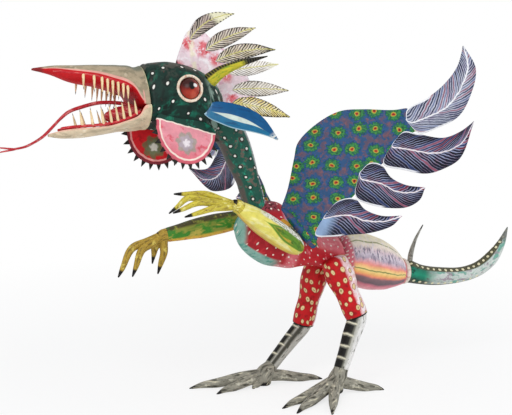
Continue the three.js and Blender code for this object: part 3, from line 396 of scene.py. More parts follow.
class Bench:
    """Turns a finished skin into a placed, painted object that stands for its nodes."""

    def __init__(self, placement: Placement) -> None:
        """Keep the placement that every piece goes through."""
        self.placement = placement

    def deliver(self, skin: Skin, name: str, nodes: Sequence[str],
                paints: Sequence[Material], smooth: int = 1, card: float = 0.0,
                offset: float = 0.0) -> None:
        """Place, name, paint and report one piece.

        Args:
            skin: Its mesh in the bird's frame, in mm.
            name: The piece's name.
            nodes: The nodes that it stands for.
            paints: Its finish, and a second one for the inner face of a card.
            smooth: Levels of subdivision.
            card: Thickness in mm for a card, or nought for a closed skin.
            offset: Which side of the mesh the card's thickness lies on.
        """
        bm = skin.bm
        if not offset:
            bmesh.ops.recalc_face_normals(bm, faces=bm.faces)
        bmesh.ops.transform(bm, matrix=self.placement.matrix, verts=bm.verts)
        mesh = bpy.data.meshes.new(name)
        bm.to_mesh(mesh)
        bm.free()
        mesh.polygons.foreach_set("use_smooth", [True] * len(mesh.polygons))
        piece = bpy.data.objects.new(name, mesh)
        bpy.context.scene.collection.objects.link(piece)
        for paint in paints:
            mesh.materials.append(paint)
        if smooth:
            rounding = piece.modifiers.new("Rounding", "SUBSURF")
            rounding.levels = rounding.render_levels = smooth
        if card:
            wall = piece.modifiers.new("Card", "SOLIDIFY")
            wall.thickness, wall.offset = card * MM, offset
            wall.use_even_offset = True
            wall.material_offset = wall.material_offset_rim = len(paints) - 1
        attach(piece, "root")
        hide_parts(*nodes)
        log.info("%s stands for %s", name, ", ".join(nodes))


class Brushwork:
    """Coats of acrylic laid one over another on primed paper, each inside its own mask."""

    def __init__(self, name: str, ground: str, rough: float = 0.5, coat: float = 0.05) -> None:
        """Prime a new material.

        Args:
            name: What the finish is.
            ground: Hex colour of the first coat.
            rough: Roughness of the dry paint.
            coat: Weight of the thin varnish over it.
        """
        self.material = bpy.data.materials.new(name)
        self.material.use_nodes = True
        self.tree = self.material.node_tree
        self.tree.nodes.clear()
        self.colour: Socket | str = ground
        self.rough = rough
        self.coat = coat
        share = self.add("UVMap", uv_map="Paint")
        shares = self.add("SeparateXYZ", (share,)).node
        self.across, self.along = shares.outputs["X"], shares.outputs["Y"]
        middle = self.add("Math", (self.across, 0.5), operation="SUBTRACT")
        self.off = self.add("Math", (middle,), operation="ABSOLUTE")
        spans = self.add("UVMap", uv_map="Span")
        # A painter's hand wavers by about a millimetre
        waver = self.add("TexNoise", {"Vector": spans, "Scale": 1.1, "Detail": 2.0}).node
        shift = self.add("VectorMath", (waver.outputs["Color"], (0.5, 0.5, 0.5)), operation="SUBTRACT")
        shift = self.add("VectorMath", {0: shift, "Scale": 0.3}, operation="SCALE")
        self.spans = self.add("VectorMath", (spans, shift), operation="ADD")
        parts = self.add("SeparateXYZ", (self.spans,)).node
        self.out, self.down = parts.outputs["X"], parts.outputs["Y"]
        self.aside = self.add("Math", (self.out,), operation="ABSOLUTE")
        coordinates = self.add("TexCoord").node
        self.place = coordinates.outputs["Object"]

    def add(self, kind: str, links: dict | Sequence = (), **settings) -> Socket:
        """Add a node to this finish and return its first output."""
        return add_node(self.tree, kind, links, **settings)

    def edge(self, value: Socket, start: float, end: float) -> Socket:
        """Return a brushed edge: nought at start and one at end, in whichever order they come."""
        return self.add("MapRange", {"Value": value, "From Min": start, "From Max": end},
                        interpolation_type="SMOOTHSTEP")

    def band(self, value: Socket, start: float, end: float, soft: float) -> Socket:
        """Return a band between two values with soft borders.

        Args:
            value: What is measured.
            start: Where the band begins.
            end: Where it ends.
            soft: Half the width of its borders.

        Returns:
            A mask.
        """
        rise = self.edge(value, start - soft, start + soft)
        fall = self.edge(value, end + soft, end - soft)
        return self.add("Math", (rise, fall), operation="MULTIPLY")

    def both(self, one: Socket, other: Socket | float) -> Socket:
        """Return where two masks meet."""
        return self.add("Math", (one, other), operation="MULTIPLY", use_clamp=True)

    def patches(self, size: float, start: float, end: float, seed: float = 0.0,
                stretch: Sequence[float] = (1, 1)) -> Socket:
        """Return dry-brushed patches.

        Args:
            size: Their size in mm.
            start: Noise level where they begin.
            end: Noise level where they are full.
            seed: Moves the pattern on.
            stretch: Draws them out along the map's directions.

        Returns:
            A mask.
        """
        scaled = self.add("VectorMath", (self.spans, (*stretch, 1)), operation="MULTIPLY")
        moved = self.add("VectorMath", (scaled, (seed, seed * 0.7, 0)), operation="ADD")
        cloud = self.add("TexNoise", {"Vector": moved, "Scale": CM / size, "Detail": 4.0,
                                      "Roughness": 0.62})
        return self.edge(cloud, start, end)

    def dots(self, spacing: float, radius: float, soft: float = 0.6, jitter: float = 0.35,
             tall: float = 1.0, vary: float = 0.0) -> Socket:
        """Return dots dabbed all over.

        Args:
            spacing: Mean distance between them in mm.
            radius: Their radius in mm.
            soft: Width of their edge in mm.
            jitter: How far they leave their rows, from nought to one.
            tall: How many times longer they are along the piece.
            vary: How much of the spacing their radius may lose.

        Returns:
            A mask.
        """
        moved = self.add("VectorMath", (self.spans, (1.0, 1 / tall, 1.0)), operation="MULTIPLY")
        cells = self.add("TexVoronoi", {"Vector": moved, "Scale": CM / spacing, "Randomness": jitter},
                         voronoi_dimensions="2D")
        far = self.add("Math", (cells.node.outputs["Color"], vary, cells), operation="MULTIPLY_ADD")
        return self.edge(far, (radius + soft / 2) / spacing, (radius - soft / 2) / spacing)

    def row(self, aside: float, pitch: float, radius: float, soft: float = 0.6,
            lean: float = 0.0) -> Socket:
        """Return one row of dots along the piece.

        Args:
            aside: Distance of the row from the middle line in mm.
            pitch: Distance between the dots in mm.
            radius: Their radius in mm.
            soft: Width of their edge in mm.
            lean: Share of its distance that the row loses towards the far end.

        Returns:
            A mask.
        """
        beat = self.add("Math", (self.down, pitch / 2 / CM), operation="PINGPONG")
        reach = self.add("Math", (self.aside, aside / CM), operation="SUBTRACT")
        reach = self.add("Math", (self.along, lean * aside / CM, reach), operation="MULTIPLY_ADD")
        flat = self.add("CombineXYZ", (reach, beat))
        far = self.add("VectorMath", (flat,), operation="LENGTH").node.outputs["Value"]
        return self.edge(far, (radius + soft / 2) / CM, (radius - soft / 2) / CM)

    def dab(self, x: float, y: float, radius: float, soft: float = 0.6) -> Socket:
        """Return one round dab at a place on the span map, all in mm.

        Args:
            x: Its place across.
            y: Its place along.
            radius: Its radius.
            soft: Width of its edge.

        Returns:
            A mask.
        """
        far = self.add("VectorMath", (self.spans, (x / CM, y / CM, 0)),
                       operation="DISTANCE").node.outputs["Value"]
        return self.edge(far, (radius + soft / 2) / CM, (radius - soft / 2) / CM)

    def lay(self, shade: str | Socket, mask: Socket | float, *others: Socket | float) -> None:
        """Lay a coat of a colour where its masks meet.

        Args:
            shade: Hex colour of the coat, or a socket that gives it.
            mask: Where the coat lies.
            *others: Masks that narrow it.
        """
        for other in others:
            mask = self.both(mask, other)
        # A colour mix takes its two colours on sockets 6 and 7, and gives its own on output 2
        self.colour = self.add("Mix", {0: mask, 6: self.colour, 7: shade}, data_type="RGBA").node.outputs[2]

    def finish(self, grain: float = 1.0) -> Material:
        """Close the material: uneven colour, brush marks, paper lumps and worn varnish.

        Args:
            grain: How strongly brush marks and paper show.

        Returns:
            The material.
        """
        # Acrylic brushed thin over white primer: the colour breaks up at 2 to 9 mm
        wash = self.add("TexNoise", {"Vector": self.place, "Scale": 110.0, "Detail": 6.0,
                                     "Roughness": 0.65})
        light = self.edge(wash, 0.3, 0.72)
        tone = self.add("MapRange", {"Value": light, "To Min": 0.86, "To Max": 1.08})
        shown = self.add("HueSaturation", {"Value": tone, "Color": self.colour})
        strokes = self.add("TexNoise", {"Vector": self.place, "Scale": 620.0, "Detail": 3.0})
        paper = self.add("TexNoise", {"Vector": self.place, "Scale": 75.0, "Detail": 4.0})
        height = self.add("Math", (strokes, 0.35, paper), operation="MULTIPLY_ADD")
        bump = self.add("Bump", {"Height": height, "Strength": 0.35 * grain, "Distance": 0.0006})
        gloss = self.add("MapRange", {"Value": wash, "To Min": self.rough - 0.1,
                                      "To Max": self.rough + 0.14})
        shader = self.add("BsdfPrincipled", {"Base Color": shown, "Roughness": gloss, "Normal": bump,
                                             "IOR": 1.47, "Specular IOR Level": 0.22,
                                             "Coat Weight": self.coat, "Coat Roughness": 0.32})
        self.add("OutputMaterial", {"Surface": shader})
        return self.material


@dataclass(frozen=True)
class RingedPaint:
    """Colours laid in lengthwise bands round a body, from its top to its underside."""

    name: str
    stops: tuple[tuple[float, str], ...]
    waver: float = 0.05

    def start(self) -> Brushwork:
        """Lay the bands and return the work for more coats.

        Returns:
            The work, for more coats.
        """
        work = Brushwork(self.name, self.stops[0][1])
        wave = work.add("TexNoise", {"Vector": work.spans, "Scale": 0.5, "Detail": 3.0})
        fuzz = work.add("Math", (wave, 0.5), operation="SUBTRACT")
        spread = work.add("Math", (work.off, 2.0), operation="MULTIPLY")
        value = work.add("Math", (fuzz, self.waver * 2, spread), operation="MULTIPLY_ADD")
        work.colour = work.add("ValToRGB", (value,), stops=self.stops)
        return work


@dataclass(frozen=True)
class BarbPaint:
    """A painted feather: pale rib, barbs in a few colours and a pale line round its root."""

    name: str
    ground: str
    wash: str
    barbs: tuple[tuple[float, str], ...]
    rib: str
    outline: str
    spacing: float
    slant: float = 1.15
    root: str = ""
    rib_width: float = 0.8
    edge_width: float = 1.5
    inked: float = 0.42
    tip: str = ""
    tip_from: float = 0.85
    dash: str = ""

    def make(self) -> Material:
        """Return the finished material.

        Returns:
            The material.
        """
        work = Brushwork(self.name, self.ground, rough=0.55)
        work.lay(self.wash, work.patches(14, 0.46, 0.6, seed=2))
        sweep = work.add("TexNoise", {"Vector": work.spans, "Scale": 0.7, "Detail": 1.0})
        leaned = work.add("Math", (work.aside, -self.slant, work.down), operation="MULTIPLY_ADD")
        drawn = work.add("Math", (sweep, 0.4, leaned), operation="MULTIPLY_ADD")
        count = work.add("Math", (drawn, CM / self.spacing), operation="MULTIPLY")
        index = work.add("Math", (count,), operation="FLOOR")
        inside = work.add("Math", (count,), operation="FRACT")
        flip = work.add("Math", (work.out, 0.0), operation="GREATER_THAN")
        seed = work.add("Math", (flip, 57.0, index), operation="MULTIPLY_ADD")
        pick = work.add("TexWhiteNoise", {"W": seed}, noise_dimensions="1D")
        shade = work.add("ValToRGB", (pick,), stops=self.barbs)
        shade.node.color_ramp.interpolation = "CONSTANT"
        # Each barb starts fine at the rib and swells towards the edge
        swell = work.add("MapRange", {"Value": work.off, "From Max": 0.4, "To Min": self.inked * 0.5,
                                      "To Max": self.inked})
        low = work.add("Math", (0.5, inside), operation="SUBTRACT")
        low = work.add("Math", (low,), operation="ABSOLUTE")
        core = work.add("Math", (swell, low), operation="SUBTRACT")
        work.lay(shade, work.edge(core, -0.07, 0.07))
        if self.tip:
            work.lay(self.tip, work.edge(work.along, self.tip_from - 0.05, self.tip_from + 0.05), 0.85)
        if self.root:
            work.lay(self.root, work.edge(work.down, 2.5, 0.9), work.edge(work.out, -0.1, 0.25))
        work.lay(self.rib, work.edge(work.aside, (self.rib_width + 0.35) / CM,
                                     (self.rib_width - 0.35) / CM))
        wide = work.add("Math", (work.aside, work.off), operation="DIVIDE")
        margin = work.add("Math", (0.5, work.off), operation="SUBTRACT")
        margin = work.add("Math", (margin, wide), operation="MULTIPLY")
        if self.dash:
            beat = work.add("Math", (work.down, 14.0), operation="MULTIPLY")
            beat = work.add("Math", (beat,), operation="SINE")
            work.lay(self.dash, work.edge(margin, 0.16, 0.12), work.edge(beat, -0.1, 0.3))
        hem = self.edge_width / CM
        rooted = work.edge(work.along, 0.46, 0.4)
        work.lay(self.outline, work.edge(margin, hem + 0.04, hem - 0.04), rooted)
        work.lay(self.outline, work.edge(work.down, 0.2, 0.12))
        return work.finish()


@dataclass(frozen=True)
class EyeSpotPaint:
    """The wing panel: blue with rows of eye-spots and mauve veins between them."""

    name: str = "acrylic eye-spots on card"
    spacing: float = 24.5
    jitter: float = 0.42
    tall: float = 0.82

    def make(self) -> Material:
        """Return the finished material.

        Returns:
            The material.
        """
        work = Brushwork(self.name, "#5b4d63", rough=0.5)
        work.lay("#77525c", work.patches(6, 0.5, 0.6, seed=3))
        work.lay("#2a4f7a", work.patches(9, 0.47, 0.55))
        moved = work.add("VectorMath", (work.spans, (1.0, 1 / self.tall, 1.0)), operation="MULTIPLY")
        cells = work.add("TexVoronoi", {"Vector": moved, "Scale": CM / self.spacing,
                                        "Randomness": self.jitter}, voronoi_dimensions="2D")
        away = work.add("VectorMath", (moved, cells.node.outputs["Position"]), operation="SUBTRACT")
        ways = work.add("SeparateXYZ", (away,)).node
        angle = work.add("Math", (ways.outputs["Y"], ways.outputs["X"]), operation="ARCTAN2")
        rays = work.add("Math", (angle, 15.0), operation="MULTIPLY")
        rays = work.add("Math", (rays,), operation="COSINE")
        fray = work.add("TexNoise", {"Vector": work.spans, "Scale": 3.0, "Detail": 3.0})
        fray = work.add("Math", (fray, 0.5), operation="SUBTRACT")
        frayed = work.add("Math", (fray, 0.5, cells), operation="MULTIPLY_ADD")
        spiked = work.add("Math", (rays, 0.035, frayed), operation="MULTIPLY_ADD")
        work.lay("#1f5283", work.edge(frayed, 0.56, 0.42))
        work.lay("#123768", work.edge(spiked, 0.47, 0.4), work.patches(4, 0.44, 0.54, seed=9))
        work.lay("#155e44", work.edge(spiked, 0.41, 0.34))
        work.lay("#3c8a44", work.edge(spiked, 0.35, 0.27), work.patches(2.6, 0.42, 0.52, seed=5))
        work.lay("#10392a", work.edge(frayed, 0.21, 0.16), 0.8)
        uneven = work.add("Math", (fray, 0.16, cells), operation="MULTIPLY_ADD")
        for shade, radius in (("#7fa63e", 0.15), ("#c79c3c", 0.112), ("#b0361f", 0.085),
                              ("#4a1812", 0.035)):
            work.lay(shade, work.edge(uneven, radius + 0.018, radius - 0.018))
        return work.finish()


@dataclass(frozen=True)
class FlowerPaint:
    """A throat wattle: a flower on a plain field inside a pale border."""

    name: str
    field_shade: str
    deep: str
    border: str
    petals: str
    leaves: str
    heart: str
    centre: tuple[float, float]
    half_length: float
    depth: float
    scallop: str

    def make(self) -> Material:
        """Return the finished material.

        Returns:
            The material.
        """
        work = Brushwork(self.name, self.field_shade, rough=0.5)
        work.lay(self.deep, work.patches(14, 0.54, 0.66, seed=2))
        work.lay(self.deep, work.edge(work.down, -1.6, -4.4), 0.75)
        x = work.add("Math", (work.out, CM / self.half_length), operation="MULTIPLY")
        y = work.add("Math", (work.down, CM / self.depth), operation="MULTIPLY")
        flat = work.add("CombineXYZ", (x, y))
        reach = work.add("VectorMath", (flat,), operation="LENGTH").node.outputs["Value"]
        work.lay(self.border, work.band(reach, 0.865, 0.915, 0.012))
        work.lay(self.scallop, work.edge(reach, 0.918, 0.93))
        work.lay(self.border, work.edge(work.down, -0.12, -0.04))
        # The card's seat over the border is glued to the head and painted over with its green
        seat = work.edge(work.down, 0.06, 0.1)
        work.lay("#123d32", seat)
        work.lay("#14745a", seat, work.patches(14, 0.5, 0.62, seed=4))
        centre = (self.centre[0] / CM, self.centre[1] / CM, 0)
        moved = work.add("VectorMath", (work.spans, centre), operation="SUBTRACT")
        far = work.add("VectorMath", (moved,), operation="LENGTH").node.outputs["Value"]
        ways = work.add("SeparateXYZ", (moved,)).node
        angle = work.add("Math", (ways.outputs["Y"], ways.outputs["X"]), operation="ARCTAN2")
        fray = work.add("TexNoise", {"Vector": work.spans, "Scale": 3.4, "Detail": 3.0})
        fray = work.add("Math", (fray, 0.5), operation="SUBTRACT")
        for shade, count, radius, swell in ((self.leaves, 7, 1.25, 0.16), (self.petals, 6, 0.86, 0.12),
                                            (self.heart, 5, 0.42, 0.07)):
            lobes = work.add("Math", (angle, float(count)), operation="MULTIPLY")
            lobes = work.add("Math", (lobes,), operation="COSINE")
            bent = work.add("Math", (lobes, swell, far), operation="MULTIPLY_ADD")
            ragged = work.add("Math", (fray, 0.5, bent), operation="MULTIPLY_ADD")
            work.lay(shade, work.edge(ragged, radius + 0.16, radius - 0.1), 0.8)
        return work.finish()


@dataclass(frozen=True)
class PlainPaint:
    """One worked colour with drawn-out streaks, patches and a second colour at the far end."""

    name: str
    ground: str
    streak: str
    patch: str
    tip: str = ""
    tip_from: float = 0.8
    rough: float = 0.5
    streak_size: float = 6.0

    def start(self) -> Brushwork:
        """Lay the coats and return the work for more.

        Returns:
            The work, for more coats.
        """
        work = Brushwork(self.name, self.ground, rough=self.rough)
        work.lay(self.streak, work.patches(self.streak_size, 0.48, 0.62, stretch=(1.6, 0.35)))
        work.lay(self.patch, work.patches(self.streak_size * 1.6, 0.56, 0.66, seed=5))
        if self.tip:
            work.lay(self.tip, work.edge(work.along, self.tip_from - 0.03, self.tip_from + 0.03))
        return work

    def make(self) -> Material:
        """Return the finished material."""
        return self.start().finish()


@dataclass
class Trunk:
    """Torso, abdomen, collar, tail and the spine over the rump."""

    chest_x: float = -29
    axis_height: float = 203
    length: float = 141
    drop: float = 47
    half_wide: float = 31
    half_tall: float = 35
    abdomen_length: float = 92
    abdomen_drop: float = 25
    abdomen_wide: float = 33
    abdomen_tall: float = 36.3
    collar_length: float = 6
    collar_radius: float = 16.5
    tail_length: float = 154.5
    tail_rise: float = 45
    tail_radius: float = 15.2
    spine_back: float = 11.5
    spine_height: float = 41
    spine_lean: float = 19
    spine_radius: float = 3.4
    seat_gap: float = 0.3
    torso_shares: tuple = (
        (0, 0, 0, 0.05, 0.05), (0.05, 0, 0.015, 0.43, 0.42, 0.6), (0.17, 0, 0.07, 0.8, 0.86, 1.01),
        (0.284, 0, 0.21, 0.95, 1.19, 1.09), (0.4, 0, 0.32, 1, 1.25, 1.04), (0.5, 0, 0.42, 0.98, 1.1, 0.99),
        (0.631, 0, 0.553, 0.84, 0.8, 0.77), (0.83, 0, 0.787, 0.68, 0.58), (1, 0, 1, 0.8, 0.76),
    )
    abdomen_shares: tuple = (
        (0, 0, 0, 0.78, 0.75), (0.185, 0, 0.13, 0.94, 0.94, 0.92), (0.41, 0, 0.34, 1, 1, 0.97),
        (0.663, 0, 0.58, 0.93, 0.92, 0.87), (0.85, 0, 0.78, 0.73, 0.74, 0.68), (1, 0, 1, 0.47, 0.46, 0.45),
    )
    tail_shares: tuple = (
        (0, 0, 0, 1, 1), (0.14, 0, -0.15, 0.86, 0.84), (0.34, 0, -0.26, 0.76, 0.76),
        (0.54, 0, -0.27, 0.68, 0.64), (0.7, 0, -0.17, 0.64, 0.62), (0.835, 0, 0.1, 0.6, 0.6),
        (0.935, 0, 0.52, 0.35, 0.38), (1, 0, 1, 0.06, 0.06),
    )

    @property
    def chest(self) -> Vector:
        """Front of the torso."""
        return Vector((self.chest_x, 0, self.axis_height))

    @property
    def rump(self) -> Vector:
        """Back of the torso."""
        return self.chest + Vector((self.length, 0, -self.drop))

    @property
    def vent(self) -> Vector:
        """Back of the abdomen."""
        return self.rump + Vector((self.abdomen_length, 0, -self.abdomen_drop))

    def torso_paint(self) -> Material:
        """Teal chest and keel, dark red flank, coral waist and a speckled hump, with rows of dots.

        Returns:
            The material.
        """
        work = Brushwork("acrylic on papier-mache, torso", "#ac1a26")
        work.lay("#c22a33", work.patches(12, 0.5, 0.62))
        waist = work.edge(work.along, 0.48, 0.58)
        work.lay("#df6f79", waist)
        work.lay("#e98f92", work.patches(9, 0.5, 0.6, seed=2), waist)
        work.lay("#dd8087", work.edge(work.off, 0.4, 0.43), work.edge(work.along, 0.24, 0.4))
        keel = work.both(work.edge(work.off, 0.365, 0.385), work.edge(work.along, 0.5, 0.36))
        chest = work.edge(work.along, 0.17, 0.12)
        for mask in (keel, chest):
            work.lay("#8ab5a8", mask)
            work.lay("#4f9585", work.patches(10, 0.5, 0.6, seed=4), mask)
        rear = work.both(work.edge(work.along, 0.6, 0.68), work.edge(work.off, 0.17, 0.25))
        work.lay("#c2202b", rear, work.patches(16, 0.3, 0.42, seed=7))
        hump = work.both(work.edge(work.off, 0.13, 0.09), work.band(work.along, 0.14, 0.46, 0.03))
        work.lay("#8a3a44", hump)
        work.lay("#4f151b", work.patches(4, 0.5, 0.56, seed=6), hump)
        work.lay("#b9a9c4", work.band(work.along, 0.5, 0.62, 0.03), work.band(work.off, 0.08, 0.17, 0.02))
        speckled = work.add("Math", (1.0, keel), operation="SUBTRACT", use_clamp=True)
        work.lay("#efe4d6", work.dots(10.5, 1.35, jitter=0.25, vary=0.04), speckled)
        return work.finish()

    def abdomen_paint(self) -> Material:
        """Lengthwise stripes from cream over lavender and orange to a dark band and a pink underside.

        Returns:
            The material.
        """
        work = RingedPaint("acrylic stripes on papier-mache, abdomen", (
            (0.0, "#f8eabf"), (0.14, "#fbf0d2"), (0.2, "#fcf1d9"), (0.213, "#7f893f"), (0.232, "#fbeedb"),
            (0.29, "#fae8dd"), (0.33, "#f2dae2"), (0.38, "#ddd0dd"), (0.425, "#c1b2c2"), (0.46, "#e8b2ba"),
            (0.49, "#f49a8c"), (0.515, "#fabd84"), (0.55, "#fddc92"), (0.56, "#456f30"), (0.574, "#fdde90"),
            (0.61, "#fbbf74"), (0.645, "#ec8c74"), (0.67, "#8c6f75"), (0.74, "#716169"), (0.79, "#e08494"),
            (0.86, "#f2acb4"), (1.0, "#f6bcc2"),
        ), waver=0.035).start()
        feathered = work.both(work.patches(4.5, 0.5, 0.58, seed=3, stretch=(0.4, 1.6)),
                              work.band(work.off, 0.15, 0.225, 0.02))
        work.lay("#8d8496", feathered)
        work.lay("#f2e6ea", work.patches(5, 0.56, 0.64, seed=8, stretch=(0.4, 1.5)),
                 work.edge(work.off, 0.25, 0.2))
        for mask in (work.edge(work.along, 0.13, 0.07), work.edge(work.along, 0.93, 0.955)):
            work.lay("#d96e7c", mask)
            work.lay("#f0dfd8", work.dots(5.5, 1.1, jitter=0.5), mask)
        return work.finish()

    def tail_paint(self) -> Material:
        """Teal flanks between dark olive edges with rows of cream dots, grey towards the tip.

        Returns:
            The material.
        """
        work = RingedPaint("acrylic on papier-mache, tail", (
            (0.0, "#57553c"), (0.27, "#5b583f"), (0.33, "#1a725b"), (0.5, "#1f9474"), (0.62, "#1a6f59"),
            (0.7, "#474a3c"), (1.0, "#44463a"),
        ), waver=0.05).start()
        flank = work.band(work.off, 0.15, 0.4, 0.015)
        work.lay("#0f4a3c", flank, work.patches(8, 0.54, 0.6, seed=3, stretch=(1.2, 0.5)))
        bend = work.both(work.edge(work.along, 0.13, 0.27), flank)
        work.lay("#cfd7d1", bend, work.patches(12, 0.3, 0.44, seed=6, stretch=(1.2, 0.4)))
        work.lay("#74ad9c", bend, work.patches(11, 0.52, 0.6, seed=9, stretch=(1.2, 0.4)))
        work.lay("#a2949e", bend, work.patches(8, 0.54, 0.62, seed=2, stretch=(1.2, 0.5)))
        work.lay("#23211a", work.row(9.5, 9.4, 3.1, 1.4, lean=0.8))
        work.lay("#ece4bc", work.row(9.5, 9.4, 2.1, 0.9, lean=0.8))
        work.lay("#ece4bc", work.row(34, 9.4, 1.9, 0.9, lean=0.7), work.edge(work.along, 0.6, 0.5))
        work.lay("#777b76", work.edge(work.along, 0.84, 0.93), 0.9)
        return work.finish()

    def build(self, bench: Bench) -> None:
        """Make and deliver the pieces of the body.

        Args:
            bench: Places, paints and names the pieces.
        """
        skin = Skin()
        skin.tube(stations_of(self.torso_shares, self.chest, (self.length, 0, -self.drop), self.half_wide,
                              self.half_tall), 30, 32, upright=VERTICAL)
        bench.deliver(skin, "torso_skin", ["torso"], [self.torso_paint()])
        skin = Skin()
        skin.tube(stations_of(self.abdomen_shares, self.rump, (self.abdomen_length, 0, -self.abdomen_drop),
                              self.abdomen_wide, self.abdomen_tall), 24, 32, upright=VERTICAL)
        bench.deliver(skin, "abdomen_skin", ["abdomen"], [self.abdomen_paint()])
        start = self.vent
        end = start + Vector((self.collar_length, 0, 0))
        ring = PlainPaint("painted cord ring", "#e9ded0", "#d9b9a8", "#f3ece0").make()
        skin = Skin()
        skin.tube(round_stations([start, start.lerp(end, 0.5), end],
                                 [self.collar_radius, self.collar_radius, self.collar_radius * 0.9]), 6, 28)
        bench.deliver(skin, "collar_ring", ["tail_collar"], [ring])
        skin = Skin()
        skin.tube(stations_of(self.tail_shares, end - Vector((self.seat_gap, 0, 0)),
                              (self.tail_length, 0, self.tail_rise), self.tail_radius, self.tail_radius),
                  40, 20)
        bench.deliver(skin, "tail_skin", ["tail"], [self.tail_paint()])
        root = self.vent + Vector((self.spine_back, 0, self.collar_radius * 0.3))
        rise = self.spine_height + self.collar_radius * 0.7
        points = [root + Vector((self.spine_lean * s * s, 0, rise * s)) for s in (0, 0.3, 0.65, 1)]
        skin = Skin()
        skin.tube(round_stations(points, [self.spine_radius * s for s in (1, 1, 0.6, 0.2)]), 14, 12,
                  lumps=0.15)
        grey = PlainPaint("painted paper quill", "#9c9a91", "#c9c6bc", "#6d6b63", tip="#5a5852",
                          tip_from=0.9)
        bench.deliver(skin, "rump_quill", ["rump_spine"], [grey.make()])


@dataclass
class NeckPiece:
    """The long neck, green in front and pale along its back."""

    foot_back: float = 33
    foot_drop: float = 5
    reach: float = 70
    rise: float = 158
    radius: float = 17.8
    shares: tuple = (
        (0, 0, 0, 0.88, 0.88), (0.045, 0, 0.09, 0.83, 0.83), (0.095, 0, 0.2, 0.79, 0.79),
        (0.14, 0, 0.28, 0.79, 0.79), (0.21, 0, 0.39, 0.79, 0.79), (0.35, 0, 0.55, 0.96, 0.96),
        (0.493, 0, 0.706, 1.04, 1.04), (0.69, 0, 0.83, 1.07, 1.07), (0.924, 0, 0.98, 0.8, 0.8),
    )

    def foot(self, trunk: Trunk) -> Vector:
        """Return where the neck starts in the torso."""
        return trunk.chest + Vector((self.foot_back, 0, -self.foot_drop))

    def head_spot(self, trunk: Trunk) -> Vector:
        """Return the top of the neck, which carries the head."""
        return self.foot(trunk) + Vector((-self.reach, 0, self.rise))

    def paint(self) -> Material:
        """Green with brown patches, a pale strip along the back and rows of dots.

        Returns:
            The material.
        """
        work = Brushwork("acrylic on papier-mache, neck", "#20584a")
        work.lay("#249076", work.patches(13, 0.54, 0.63, stretch=(1, 0.6)))
        work.lay("#6a5f55", work.patches(10, 0.54, 0.61, seed=7))
        work.lay("#57504a", work.edge(work.off, 0.13, 0.09), work.patches(14, 0.36, 0.5, seed=1))
        back = work.both(work.edge(work.off, 0.36, 0.39), work.patches(9, 0.3, 0.42, seed=9))
        work.lay("#b5b2b4", back)
        work.lay("#6f7d78", back, work.patches(3.5, 0.5, 0.58, seed=4))
        for aside, pitch in ((17, 14.5), (34, 13)):
            work.lay("#12211b", work.row(aside, pitch, 3.1, 1.6))
            work.lay("#eceae2", work.row(aside, pitch, 1.6, 0.9))
        return work.finish()

    def build(self, bench: Bench, trunk: Trunk) -> None:
        """Make and deliver the neck.

        Args:
            bench: Places, paints and names the pieces.
            trunk: The body that it sits on.
        """
        skin = Skin()
        skin.tube(stations_of(self.shares, self.foot(trunk), (-self.reach, 0, self.rise), self.radius,
                              self.radius), 40, 26)
        bench.deliver(skin, "neck_skin", ["neck"], [self.paint()])


